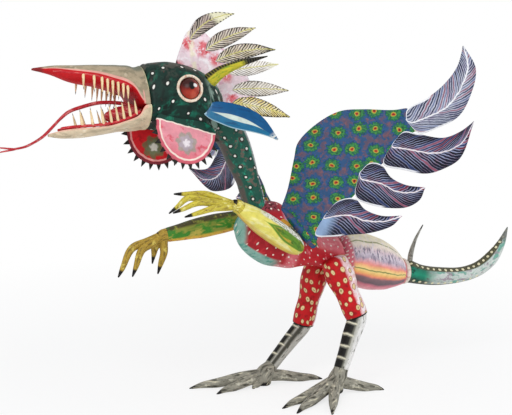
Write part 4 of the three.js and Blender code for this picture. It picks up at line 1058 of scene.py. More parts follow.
@dataclass
class Skull:
    """Head with its eyes, rims, horns, ears and wattles."""

    forward: float = 34
    lift: float = 6
    roll: float = 14
    length: float = 96
    front: float = 43
    half_wide: float = 35.5
    half_tall: float = 42
    eye_x: float = 2
    eye_rise: float = 4
    eye_radius: float = 13
    eye_proud: float = 7.5
    rim_radius: float = 14.4
    rim_tube: float = 1.8
    horn_x: float = 31
    horn_out: float = 20
    horn_rise: float = 13
    horn_length: float = 73
    horn_climb: float = 26
    horn_flare: float = 14
    horn_radius: float = 9.5
    ear_x: float = 17
    ear_out: float = 23.5
    ear_drop: float = 19
    ear_length: float = 95
    ear_width: float = 35
    ear_card: float = 2.2
    ear_cup: float = 4
    ear_yaw: float = 23
    ear_dip: float = 23
    wattle_x: float = -3
    wattle_out: float = 24
    wattle_drop: float = 38
    wattle_half: float = 38
    wattle_depth: float = 45
    wattle_card: float = 2.4
    wattle_seat: float = 12
    wattle_lip: float = 1.5
    wattle_tilt: float = 16
    wattle_splay: float = 9
    wattle_yaw: float = 6
    fringe: float = 7
    fringe_count: int = 13
    fringe_gap: float = 0.12
    fringe_seat: float = 2.5
    right_forward: float = 14
    right_rise: float = 8.5
    shares: tuple = (
        (0, 0, -0.26, 0.83, 1.2, 0.57), (0.16, 0, -0.14, 0.93, 1.12, 0.77), (0.34, 0, -0.05, 1, 1.04, 0.88),
        (0.55, 0, 0, 1, 0.88, 0.95), (0.74, 0, 0, 0.88, 0.7, 1.08), (0.89, 0, -0.05, 0.64, 0.48, 0.95),
        (1, 0, -0.12, 0.25, 0.19, 0.5),
    )
    ear_upper: tuple = ((0, 0), (0.06, 0.2), (0.15, 0.4), (0.28, 0.49), (0.4, 0.53), (0.56, 0.51),
                        (0.73, 0.38), (0.88, 0.1), (1, -0.2))
    ear_lower: tuple = ((0, 0), (0.06, -0.12), (0.15, -0.22), (0.28, -0.27), (0.4, -0.3), (0.5, -0.29),
                        (0.65, -0.24), (0.82, -0.2), (1, -0.2))
    horn_shares: tuple = (
        (0, 0, 0, 1, 1), (0.22, 0.3, 0.42, 0.76, 0.76), (0.54, 0.6, 0.74, 0.46, 0.46),
        (0.8, 0.85, 0.9, 0.26, 0.26), (1, 1, 1, 0.07, 0.07),
    )
    matrix: Matrix = field(default_factory=Matrix)

    def seat(self, spot: Vector) -> None:
        """Set the head's own frame on top of the neck."""
        place = Matrix.Translation(spot + Vector((-self.forward, 0, self.lift)))
        self.matrix = place @ Matrix.Rotation(math.radians(-self.roll), 4, "X")

    def skull_paint(self) -> Material:
        """Dark green with emerald streaks, brown-grey patches and haloed white dots.

        Returns:
            The material.
        """
        work = Brushwork("acrylic on papier-mache, head", "#0c2d25")
        work.lay("#0b6650", work.patches(24, 0.5, 0.64, stretch=(1.2, 0.8)))
        work.lay("#071f19", work.patches(15, 0.5, 0.6, seed=3))
        work.lay("#4a4a42", work.edge(work.off, 0.22, 0.08), work.patches(13, 0.45, 0.58, seed=5))
        work.lay("#8fa79a", work.band(work.along, 0.66, 0.97, 0.06), work.patches(11, 0.45, 0.58, seed=8))
        work.lay("#6e3430", work.patches(5, 0.66, 0.7, seed=11))
        for shade, radius, soft in (("#081712", 3.3, 2.2), ("#eceae2", 1.75, 0.9)):
            work.lay(shade, work.dots(20, radius, soft, 0.42, vary=0.02))
        work.lay("#9c141a", work.edge(work.along, 0.004, 0.001))
        return work.finish()

    def eye_paint(self) -> Material:
        """A lacquered ball: red-brown iris, black pupil set high and forward, and one white dab that is a
        painted highlight.

        Returns:
            The material.
        """
        work = Brushwork("lacquered papier-mache eye", "#7c1f17", rough=0.3, coat=0.15)
        work.lay("#a8321f", work.dab(0, -6, 9, 7))
        work.lay("#c4523a", work.dab(2, -8.5, 4, 5))
        work.lay("#3a0f0c", work.dab(-4, 6, 7.5, 7))
        work.lay("#b8483a", work.dab(7.5, -1, 3, 4))
        work.lay("#0b0707", work.dab(0, 3.4, 3.5, 1.4))
        work.lay("#0b0707", work.dab(0, 0.8, 3.1, 1.4))
        # A painted highlight: a white dab beside the pupil
        work.lay("#e9e6e4", work.dab(4.0, 2.4, 2.5, 1.4))
        return work.finish(grain=0.2)

    def build_eyes(self, bench: Bench) -> None:
        """Make the two eyeballs and their rolled paper rims.

        Args:
            bench: Places, paints and names the pieces.
        """
        iris = self.eye_paint()
        cream = PlainPaint("painted rolled paper", "#ecdcc6", "#d3a48c", "#f7eee0", streak_size=3).make()
        for name, side in SIDES.items():
            out = self.half_wide - self.eye_radius + self.eye_proud
            skin = Skin()
            skin.ball(Vector((self.eye_x, side * out, self.eye_rise)), self.eye_radius, self.matrix)
            bench.deliver(skin, f"{name}_eyeball", [f"{name}_eye"], [iris])
            skin = Skin()
            skin.ring(Vector((self.eye_x, side * (self.half_wide - self.rim_tube * 0.35), self.eye_rise)),
                      self.rim_radius, self.rim_tube, self.matrix)
            bench.deliver(skin, f"{name}_eye_ring", [f"{name}_eye_rim"], [cream])

    def build_horns(self, bench: Bench) -> None:
        """Make the two horns.

        Args:
            bench: Places, paints and names the pieces.
        """
        work = PlainPaint("acrylic on papier-mache, horn", "#c6b92f", "#7f9a2c", "#dccf4a").start()
        hatch = work.add("Math", (work.down, 19.0), operation="MULTIPLY")
        hatch = work.add("Math", (hatch,), operation="SINE")
        tip = work.edge(work.along, 0.5, 0.62)
        work.lay("#3b3a1c", work.edge(work.off, 0.2, 0.16), 0.8)
        work.lay("#12110d", work.edge(work.off, 0.2, 0.14), work.edge(hatch, -0.5, 0.2))
        work.lay("#3f3a2c", tip)
        work.lay("#0f0e0c", tip, work.edge(hatch, -0.6, 0.1))
        paint = work.finish()
        for name, side in SIDES.items():
            skin = Skin()
            start = Vector((self.horn_x, side * self.horn_out, self.horn_rise))
            skin.tube(stations_of(self.horn_shares, start,
                                  (self.horn_length, side * self.horn_flare, self.horn_climb),
                                  self.horn_radius, self.horn_radius), 24, 16, matrix=self.matrix,
                      lumps=0.2)
            bench.deliver(skin, f"{name}_horn_skin", [f"{name}_horn"], [paint])

    def ear_paint(self) -> Material:
        """Deep blue over teal-blue with a long pale lens between, light blue root and whitish tip.

        Returns:
            The material.
        """
        work = Brushwork("acrylic on card, ear", "#005184", rough=0.42)
        work.lay("#13688f", work.edge(work.across, 0.54, 0.58))
        work.lay("#003c6c", work.patches(8, 0.54, 0.64, stretch=(1.8, 0.3)), 0.7)
        middle = work.add("Math", (work.across, 0.6), operation="SUBTRACT")
        off = work.add("Math", (middle,), operation="ABSOLUTE")
        swell = work.band(work.along, 0.34, 0.76, 0.15)
        lens = work.add("Math", (swell, -0.11, off), operation="MULTIPLY_ADD")
        work.lay("#c9d6cd", work.edge(lens, 0.0, -0.025))
        root = work.edge(work.along, 0.24, 0.12)
        work.lay("#5f9cc4", root)
        work.lay("#0c2f5e", root, work.patches(9, 0.46, 0.52, seed=3))
        work.lay("#a5cbdc", root, work.patches(4, 0.52, 0.6, seed=5))
        work.lay("#9fc4d2", work.edge(work.across, 0.95, 0.975))
        tip = work.edge(work.along, 0.9, 0.96)
        work.lay("#d9dcd8", tip, work.patches(3, 0.42, 0.5, seed=1))
        return work.finish()

    def build_ears(self, bench: Bench) -> None:
        """Make the two cupped ears.

        Args:
            bench: Places, paints and names the pieces.
        """
        paint = self.ear_paint()
        yaw, dip = math.radians(self.ear_yaw), math.radians(self.ear_dip)
        for name, side in SIDES.items():
            along = Vector((math.cos(yaw) * math.cos(dip), side * math.sin(yaw) * math.cos(dip),
                            -math.sin(dip)))
            face = (LATERAL - along * along.y).normalized()
            basis = Matrix((along, face.cross(along), face)).transposed().to_4x4()
            spot = Vector((self.ear_x, side * self.ear_out, -self.ear_drop))
            turned = self.matrix @ Matrix.Translation(spot) @ basis

            def cup(p: Vector, side: int = side) -> float:
                """Return how far the ear stands out of its plane at a point."""
                share = math.pi * min(max(p.x, 0), self.ear_length) / self.ear_length
                return side * self.ear_cup * math.cos(math.pi * p.y / self.ear_width) * math.sin(share)

            edges = [[(x * self.ear_length, side * y * self.ear_width) for x, y in table]
                     for table in (self.ear_upper, self.ear_lower)]
            skin = Skin()
            skin.card(*edges, along=28, across=12, tip=2, matrix=turned, cup=cup)
            bench.deliver(skin, f"{name}_ear_card", [f"{name}_ear"], [paint],
                          card=self.ear_card)

    def build_wattles(self, bench: Bench) -> None:
        """Make the two half-disc wattles and their spiked fringes.

        Args:
            bench: Places, paints and names the pieces.
        """
        pink = FlowerPaint("acrylic flower on card, near wattle", "#e695a0", "#d85a6a", "#f3e0d2",
                           "#b5a6b2", "#939a8c", "#f8eff2", (1.6, -20), self.wattle_half,
                           self.wattle_depth, "#d2606e")
        red = FlowerPaint("acrylic flower on card, far wattle", "#e01c26", "#be121c", "#eda6a2", "#6d7a58",
                          "#566f4a", "#e9e7dc", (-1.2, -25), self.wattle_half, self.wattle_depth, "#7c2530")
        spikes = PlainPaint("black paper fringe", "#1b1916", "#2c2822", "#171512", streak_size=3).make()
        splay, tilt, yaw = (math.radians(a) for a in (self.wattle_splay, self.wattle_tilt, self.wattle_yaw))
        for name, side in SIDES.items():
            right = 1 if side > 0 else 0
            turn = Matrix.Rotation(math.pi / 2 + side * splay, 4, "X")
            turn = Matrix.Rotation(-side * yaw, 4, "Z") @ Matrix.Rotation(tilt, 4, "Y") @ turn
            spot = Vector((self.wattle_x - right * self.right_forward, side * self.wattle_out,
                           -self.wattle_drop + right * self.right_rise))
            turned = self.matrix @ Matrix.Translation(spot) @ turn
            skin = Skin()

            def flap(u: float, v: float) -> Spot:
                """Return a spot of the half disc for shares round and outwards.

                Args:
                    u: Share across or round.
                    v: Share along.

                Returns:
                    Place, shares and span.
                """
                angle = math.pi * (1 + u)
                rim = Vector((self.wattle_half * math.cos(angle), self.wattle_depth * math.sin(angle), 0))
                top = Vector((self.wattle_half * math.cos(angle),
                              self.wattle_lip + self.wattle_seat * math.sin(math.pi * u), 0))
                at = top.lerp(rim, v)
                return turned @ at, Vector((u, v, 0)), at / CM

            skin.grid(36, 14, flap, False)
            paint = (pink if side < 0 else red).make()
            bench.deliver(skin, f"{name}_wattle_card", [f"{name}_wattle"],
                          [paint], card=self.wattle_card)
            skin = Skin()
            step = math.pi / self.fringe_count
            for i in range(self.fringe_count):
                low, high = (math.pi + (i + share) * step
                             for share in (self.fringe_gap, 1 - self.fringe_gap))

                def spike(u: float, v: float, low: float = low, high: float = high) -> Spot:
                    """Return a spot of a pointed tab for shares across and outwards.

                    Args:
                        u: Share across or round.
                        v: Share along.
                        low: Where the tab begins, in radians.
                        high: Where it ends.

                    Returns:
                        Place, shares and span.
                    """
                    angle = low + (high - low) * (0.5 + (u - 0.5) * (1 - v))
                    grow = self.fringe * v - self.fringe_seat * (1 - v)
                    at = Vector(((self.wattle_half + grow) * math.cos(angle),
                                 (self.wattle_depth + grow) * math.sin(angle), 0))
                    return turned @ at, Vector((u, v, 0)), at / CM

                skin.grid(4, 4, spike, True)
            bench.deliver(skin, f"{name}_wattle_fringe", [f"{name}_wattle"],
                          [spikes], smooth=0, card=self.wattle_card * 0.5)

    def build(self, bench: Bench) -> None:
        """Make and deliver the pieces of the head.

        Args:
            bench: Places, paints and names the pieces.
        """
        skin = Skin()
        skin.tube(stations_of(self.shares, Vector((-self.front, 0, 0)), (self.length, 0, self.half_tall),
                              self.half_wide, self.half_tall), 30, 34, upright=VERTICAL, matrix=self.matrix)
        bench.deliver(skin, "skull_skin", ["head"], [self.skull_paint()])
        self.build_eyes(bench)
        self.build_horns(bench)
        self.build_ears(bench)
        self.build_wattles(bench)


class Half(Enum):
    """The two halves of the beak."""

    UPPER = -1
    LOWER = 1


@dataclass
class Beak:
    """Both beak halves, their teeth and the forked tongue."""

    front: float = 43
    upper_length: float = 127
    lower_length: float = 115
    base_wide: float = 29
    upper_tall: float = 49.5
    lower_tall: float = 24.8
    top_rise: float = 38
    corner_drop: float = 11
    wall: float = 3
    palate: float = 11
    seat_gap: float = 0.3
    tooth_length: float = 22
    tooth_radius: float = 2.1
    short_tooth: float = 0.72
    strip_before: float = 0.16
    strip_after: float = 0.04
    gum_radius: float = 1.9
    gum_set: float = 1.3
    splay: float = 0.15
    lean: float = 0.12
    teeth: int = 8
    upper_row: tuple = (0.29, 0.65)
    lower_row: tuple = (0.28, 0.7)
    tongue_x: float = -4
    tongue_root_drop: float = 9
    tongue_reach: float = 195
    tongue_drop: float = 42
    tongue_radius: float = 2.7
    tongue_tip: float = 1.3
    prong: float = 21.8
    prong_spread: float = 3.6
    heel_start: float = 42
    heel_length: float = 44
    heel_drop: float = 19
    heel_radius: float = 12
    upper_shares: tuple = (
        (1, 0.97, 0.05, 0.04, 0.05), (0.83, 0.97, 0.26, 0.08, 0.6), (0.66, 0.9, 0.42, 0.145, 1.12),
        (0.43, 0.78, 0.62, 0.26, 1.12), (0.31, 0.66, 0.72, 0.37, 1), (0.2, 0.54, 0.83, 0.47, 0.75),
        (0.13, 0.38, 0.9, 0.62, 0.45), (0.06, 0.03, 0.97, 0.93, 0.1), (0, 0, 1, 1, 0.02),
    )
    lower_shares: tuple = (
        (1, 1, 0.05, 0.12), (0.86, 0.89, 0.28, 0.34), (0.69, 0.86, 0.42, 0.38), (0.44, 0.86, 0.66, 0.26),
        (0.28, 0.7, 0.79, 0.32), (0.13, 0.46, 0.9, 0.56), (0.06, 0.03, 0.97, 0.97), (0, 0, 1, 1),
    )
    tongue_shares: tuple = (
        (0, 0, 0), (0.108, 0, 0), (0.22, 0, 0.05), (0.323, 0, -0.095), (0.467, 0, -0.143),
        (0.574, 0, -0.048), (0.656, 0, 0.07), (0.713, 0, 0.26), (0.77, 0, 0.5), (0.826, 0, 0.714),
        (0.882, 0, 0.857), (0.933, 0, 0.952), (1, 0, 1),
    )

    def upper_stations(self) -> list[Station]:
        """Return the stations of the upper half, tip first.

        Returns:
            The stations.
        """
        lift = self.top_rise + self.corner_drop
        return [Station(Vector((-self.front - self.seat_gap - self.upper_length * forward, 0,
                                -self.corner_drop + lift * lip)),
                        self.base_wide * wide, self.upper_tall * above, self.palate * below)
                for forward, lip, wide, above, below in self.upper_shares]

    def lower_stations(self) -> list[Station]:
        """Return the stations of the lower half, tip first.

        Returns:
            The stations.
        """
        return [Station(Vector((-self.front - self.seat_gap - self.lower_length * forward, 0,
                                -self.corner_drop - self.seat_gap - self.lower_tall * fall)),
                        self.base_wide * wide, self.seat_gap, self.lower_tall * deep)
                for forward, fall, wide, deep in self.lower_shares]

    def bill_paint(self, half: Half) -> Material:
        """Grey-tan paint outside with a pink lip line, and deep red inside the mouth.

        Args:
            half: Which half it is for.

        Returns:
            The material.
        """
        upper = half is Half.UPPER
        tones = ("#ac9c82", "#91866e", "#c0b198") if upper else ("#dfcbac", "#c3b295", "#ecdec4")
        work = PlainPaint(f"acrylic on papier-mache, {half.name.lower()} beak", *tones,
                          streak_size=9).start()
        work.lay("#77766a", work.patches(4, 0.62, 0.68, seed=4, stretch=(1.5, 0.3)), 0.7)
        if upper:
            work.lay("#6f7160", work.edge(work.off, 0.12, 0.06), work.edge(work.along, 0.12, 0.3))
        work.lay("#d9d3a8", work.edge(work.along, 0.965, 0.98))
        if upper:
            # The lip line keeps its width where the bill widens towards the mouth's corner
            narrow = work.edge(work.along, 0.55, 0.9)
            lip = work.add("Math", (narrow, -0.016, work.off), operation="MULTIPLY_ADD")
            work.lay("#e2a598", work.edge(lip, 0.215, 0.228))
            work.lay("#c2121a", work.edge(work.off, 0.247, 0.256))
            work.lay("#a5121b", work.edge(work.off, 0.34, 0.42), work.edge(work.along, 0.3, 0.9))
            # Behind the mouth's corner the halves are one closed wall, painted like the outside
            side = work.band(work.off, 0.2, 0.31, 0.01)
            work.lay(tones[0], side, work.edge(work.along, 0.885, 0.9))
            work.lay("#e2a598", side, work.band(work.along, 0.868, 0.89, 0.006))
            work.lay("#8a1f20", work.edge(work.along, 0.085, 0.05))
        else:
            work.lay("#e8b9a2", work.edge(work.off, 0.44, 0.455), work.edge(work.along, 0.92, 0.9))
        return work.finish()

    def mouth_paint(self) -> Material:
        """Deep red inside the mouth.

        Returns:
            The material.
        """
        work = PlainPaint("red acrylic inside the mouth", "#c2161d", "#9c1018", "#d02a2c").start()
        corner = work.both(work.edge(work.off, 0.45, 0.47), work.edge(work.along, 0.885, 0.905))
        work.lay("#dfcbac", corner)
        return work.finish()

    def build_bills(self, bench: Bench, matrix: Matrix) -> None:
        """Make the two beak halves.

        Args:
            bench: Places, paints and names the pieces.
            matrix: The head's frame.
        """
        skin = Skin()
        skin.tube(self.upper_stations(), 34, 32, upright=VERTICAL, matrix=matrix, cap=0.1)
        bench.deliver(skin, "upper_bill", ["upper_beak"], [self.bill_paint(Half.UPPER)])
        stations = self.lower_stations()
        spine = SmoothLine(s.at for s in stations)
        girth = SmoothLine((s.wide, s.above, s.below) for s in stations)

        def trough(u: float, v: float) -> Spot:
            """Return a spot of the open lower half for shares round and along.

            Args:
                u: Share across or round.
                v: Share along.

            Returns:
                Place, shares and span.
            """
            half = girth.point(v)
            angle = math.pi * (1 + u)
            at = spine.point(v) + Vector((0, half.x * math.cos(angle), half.z * math.sin(angle)))
            span = Vector(((u - 0.5) * (half.x + half.z) * 1.6 / CM, v * self.lower_length / CM, 0))
            return matrix @ at, Vector((u, v, 0)), span

        skin = Skin()
        skin.grid(20, 32, trough, False)
        bmesh.ops.recalc_face_normals(skin.bm, faces=skin.bm.faces)
        bench.deliver(skin, "lower_bill", ["lower_beak"],
                      [self.bill_paint(Half.LOWER), self.mouth_paint()], card=self.wall, offset=-1)

    def build_teeth(self, bench: Bench, matrix: Matrix) -> None:
        """Make four rows of cone teeth, each on a gum strip along its lip.

        Args:
            bench: Places, paints and names the pieces.
            matrix: The head's frame.
        """
        ivory = PlainPaint("painted tooth cone", "#ecd3a4", "#d8a878", "#f3e4c6", tip="#77695a",
                           tip_from=0.84, streak_size=3).make()
        gum = PlainPaint("red painted gum strip", "#c02530", "#d9635f", "#a81a24", streak_size=4).make()
        rows = ((Half.UPPER, self.upper_stations(), -self.gum_radius, *self.upper_row),
                (Half.LOWER, self.lower_stations(), -self.wall / 2, *self.lower_row))
        for half, stations, out, start, end in rows:
            for name, side in SIDES.items():
                lip = SmoothLine((s.at.x, side * max(s.wide + out, self.seat_gap),
                                  s.at.z + half.value * self.gum_radius * self.gum_set) for s in stations)
                first, last = start - self.strip_before, end + self.strip_after
                strip = [lip.point(first + (last - first) * s / 5) for s in range(6)]
                skin = Skin()
                skin.tube(round_stations(strip, [self.gum_radius] * 6), 20, 8, matrix=matrix, lumps=0.3)
                rim = len(skin.bm.faces)
                for i in range(self.teeth):
                    share = i / (self.teeth - 1)
                    swell = math.sin(math.pi * (0.15 + 0.7 * share))
                    long = self.tooth_length * (self.short_tooth + (1 - self.short_tooth) * swell)
                    root = lip.point(start + (end - start) * (0.03 + 0.94 * share))
                    tip = root + Vector((-long * self.lean, side * long * self.splay, half.value * long))
                    bend = root.lerp(tip, 0.5) + Vector((0.5 * math.sin(3.1 * i), 0, 0))
                    skin.tube(round_stations([root, bend, tip],
                                             [self.tooth_radius, self.tooth_radius * 0.66,
                                              self.tooth_radius * 0.1]), 6, 8, across=Vector((1, 0, 0)),
                              matrix=matrix, lumps=0.1)
                skin.bm.faces.ensure_lookup_table()
                for face in skin.bm.faces[rim:]:
                    face.material_index = 1
                label = f"{half.name.lower()}_teeth_{name}"
                bench.deliver(skin, f"{label}_row", [label], [gum, ivory])

    def build_tongue(self, bench: Bench, matrix: Matrix) -> None:
        """Make the long tongue and its fork.

        Args:
            bench: Places, paints and names the pieces.
            matrix: The head's frame.
        """
        root = Vector((self.tongue_x, 0, -self.tongue_root_drop))
        points = [root + Vector((-self.tongue_reach * x, self.tongue_reach * y, -self.tongue_drop * z))
                  for x, y, z in self.tongue_shares]
        taper = (self.tongue_tip - self.tongue_radius) / len(points)
        skin = Skin()
        skin.tube(round_stations(points, [self.tongue_radius + taper * i for i in range(len(points))]), 60,
                  10, matrix=matrix, lumps=0.25)
        for way in (-1, 1):
            prong = [points[-1] + Vector((self.tongue_tip * 2 - (self.prong + self.tongue_tip * 2) * s,
                                          way * self.prong_spread * s * 0.5, way * self.prong_spread * s))
                     for s in (0, 0.5, 1)]
            skin.tube(round_stations(prong, [self.tongue_tip * s for s in (1, 0.8, 0.4)]), 10, 8,
                      matrix=matrix, lumps=0.1)
        heel = [root + Vector((-self.heel_start - self.heel_length * s, 0,
                               self.tongue_root_drop - self.heel_drop)) for s in (0, 0.3, 0.7, 1)]
        skin.tube(round_stations(heel, [self.heel_radius * s for s in (0.7, 1, 0.85, 0.35)]), 16, 16,
                  matrix=matrix, lumps=0.8)
        red = PlainPaint("red acrylic on wrapped paper, tongue", "#b5222e", "#d67f7c", "#96202b",
                         streak_size=4)
        bench.deliver(skin, "tongue_strip", ["tongue"], [red.make()])

    def build(self, bench: Bench, matrix: Matrix) -> None:
        """Make and deliver the pieces of the beak.

        Args:
            bench: Places, paints and names the pieces.
            matrix: The head's frame.
        """
        self.build_bills(bench, matrix)
        self.build_teeth(bench, matrix)
        self.build_tongue(bench, matrix)


@dataclass
class Crest:
    """A card sheet on the skull's ridge with six painted feathers."""

    length: float = 143
    height: float = 101
    card: float = 2.4
    feather_width: float = 18.5
    outer: tuple = ((0.006, 0.38), (0.08, 0.6), (0.15, 0.77), (0.25, 0.79), (0.34, 0.67), (0.45, 0.55),
                    (0.56, 0.42), (0.64, 0.2), (0.69, -0.02), (0.66, -0.22))
    inner: tuple = ((0.03, 0.3), (0.1, 0.28), (0.17, 0.25), (0.23, 0.2), (0.28, 0.14), (0.33, 0.06),
                    (0.37, -0.03), (0.41, -0.11), (0.44, -0.17), (0.48, -0.24))
    leaf_upper: tuple = ((0, 0), (0.1, 0.34), (0.35, 0.5), (0.68, 0.34), (1, 0))
    leaf_lower: tuple = ((0, 0), (0.12, -0.3), (0.42, -0.5), (0.74, -0.34), (1, 0))
    blush: tuple = ((19, 63, 8), (38, 55, 9), (52, 42, 7), (4, 35, 7), (20, 30, 5), (64, 22, 6),
                    (68, -6, 7))
    feathers: tuple = (
        ((0.15, 0.66), (0.574, 0.962), 0.12, 1.02), ((0.28, 0.53), (0.755, 0.79), 0.055, 1.05),
        ((0.36, 0.4), (0.916, 0.525), 0.075, 1.05), ((0.44, 0.28), (0.93, 0.348), 0.01, 1),
        ((0.48, 0.06), (1, 0.03), 0.03, 1.02), ((0.46, -0.1), (0.985, -0.285), 0.05, 1.12),
    )

    def sheet_paint(self) -> Material:
        """Pink-white wash with red blushes, cream veins and a dark front edge.

        Returns:
            The material.
        """
        work = Brushwork("acrylic wash on card, crest", "#f0dae1", rough=0.6)
        work.lay("#f6eef2", work.patches(13, 0.5, 0.62, seed=8))
        work.lay("#e2b3c4", work.patches(9, 0.55, 0.68, seed=2))
        for x, y, radius in self.blush:
            near = work.dab(x, y, radius, 8)
            work.lay("#dd6f78", near, work.patches(7, 0.4, 0.52, seed=x))
            work.lay("#c83a42", near, work.patches(5, 0.54, 0.62, seed=y))
        work.lay("#efe3cd", work.band(work.along, 0.2, 0.26, 0.02), work.patches(8, 0.4, 0.52))
        work.lay("#5e2c34", work.edge(work.along, 0.03, 0.015))
        return work.finish()

    def feather_paints(self) -> list[Material]:
        """Dark barbs on the upper three feathers, fine grey ones on the next, yellow on the last.

        Returns:
            One material for each feather.
        """
        dark = ((0.0, "#4a413c"), (0.35, "#7b6d6c"), (0.6, "#2c2624"), (0.8, "#94847c"))
        pale = ((0.0, "#8f877e"), (0.4, "#b9b2a8"), (0.7, "#736b62"))
        tones = (
            ("#dacdc0", "#b9a899", dark, 0.4, "#f1eecb", 0.66, "#3a332e"),
            ("#e6dccd", "#cfc2ab", dark, 0.33, "#e0d7a8", 0.88, "#6a6158"),
            ("#e8dfca", "#cdbf9c", dark, 0.32, "#171412", 0.86, "#171412"),
            ("#f8f4ef", "#eee8de", pale, 0.22, "#f1efd6", 0.84, ""),
            ("#f6f0e6", "#e8dfce", pale, 0.27, "#9a938a", 0.93, "#6f675f"),
            ("#efda86", "#f4eccc", dark, 0.26, "#5b4c2c", 0.93, "#4a3e28"),
        )
        return [BarbPaint(f"acrylic barbs on card, crest feather {i + 1}", ground, wash, barbs, "#cfc878",
                            "#e4d8d8", 4.4, slant=1.4, rib_width=0.55, edge_width=0.3, inked=inked, tip=tip,
                            tip_from=start, dash=dash).make()
                  for i, (ground, wash, barbs, inked, tip, start, dash) in enumerate(tones)]

    def build(self, bench: Bench, head: Matrix) -> None:
        """Make and deliver the crest's sheet and feathers.

        Args:
            bench: Places, paints and names the pieces.
            head: The head's frame.
        """
        matrix = head @ Matrix.Rotation(math.pi / 2, 4, "X")
        outer, inner = ([(x * self.length, y * self.height) for x, y in t]
                        for t in (self.outer, self.inner))
        skin = Skin()
        skin.card(outer, inner, along=30, across=14, tip=1.4, matrix=matrix, flat_map=True)
        bench.deliver(skin, "crest_sheet", ["crest"], [self.sheet_paint()], card=self.card)
        paints = self.feather_paints()
        for i, (root, tip, bend, wide) in enumerate(self.feathers):
            start = Vector((root[0] * self.length, root[1] * self.height))
            axis = Vector((tip[0] * self.length, tip[1] * self.height)) - start
            aside = Vector((-axis.y, axis.x)).normalized()
            edges = []
            for table in (self.leaf_upper, self.leaf_lower):
                rows = [start + axis * f + aside * (out * self.feather_width * wide
                        + bend * axis.length * math.sin(math.pi * f)) for f, out in table]
                edges.append([tuple(p) for p in rows])
            skin = Skin()
            skin.card(*edges, along=26, across=8, tip=1.2, matrix=matrix)
            bench.deliver(skin, f"crest_feather_{i + 1}", ["crest"], [paints[i]],
                          card=self.card * 1.3)


@dataclass
class WingPose:
    """Where a wing's root sits and how it is turned, in mm from the chest and degrees."""

    back: float
    out: float
    rise: float
    cup: float
    yaw: float
    tilt: float
    roll: float


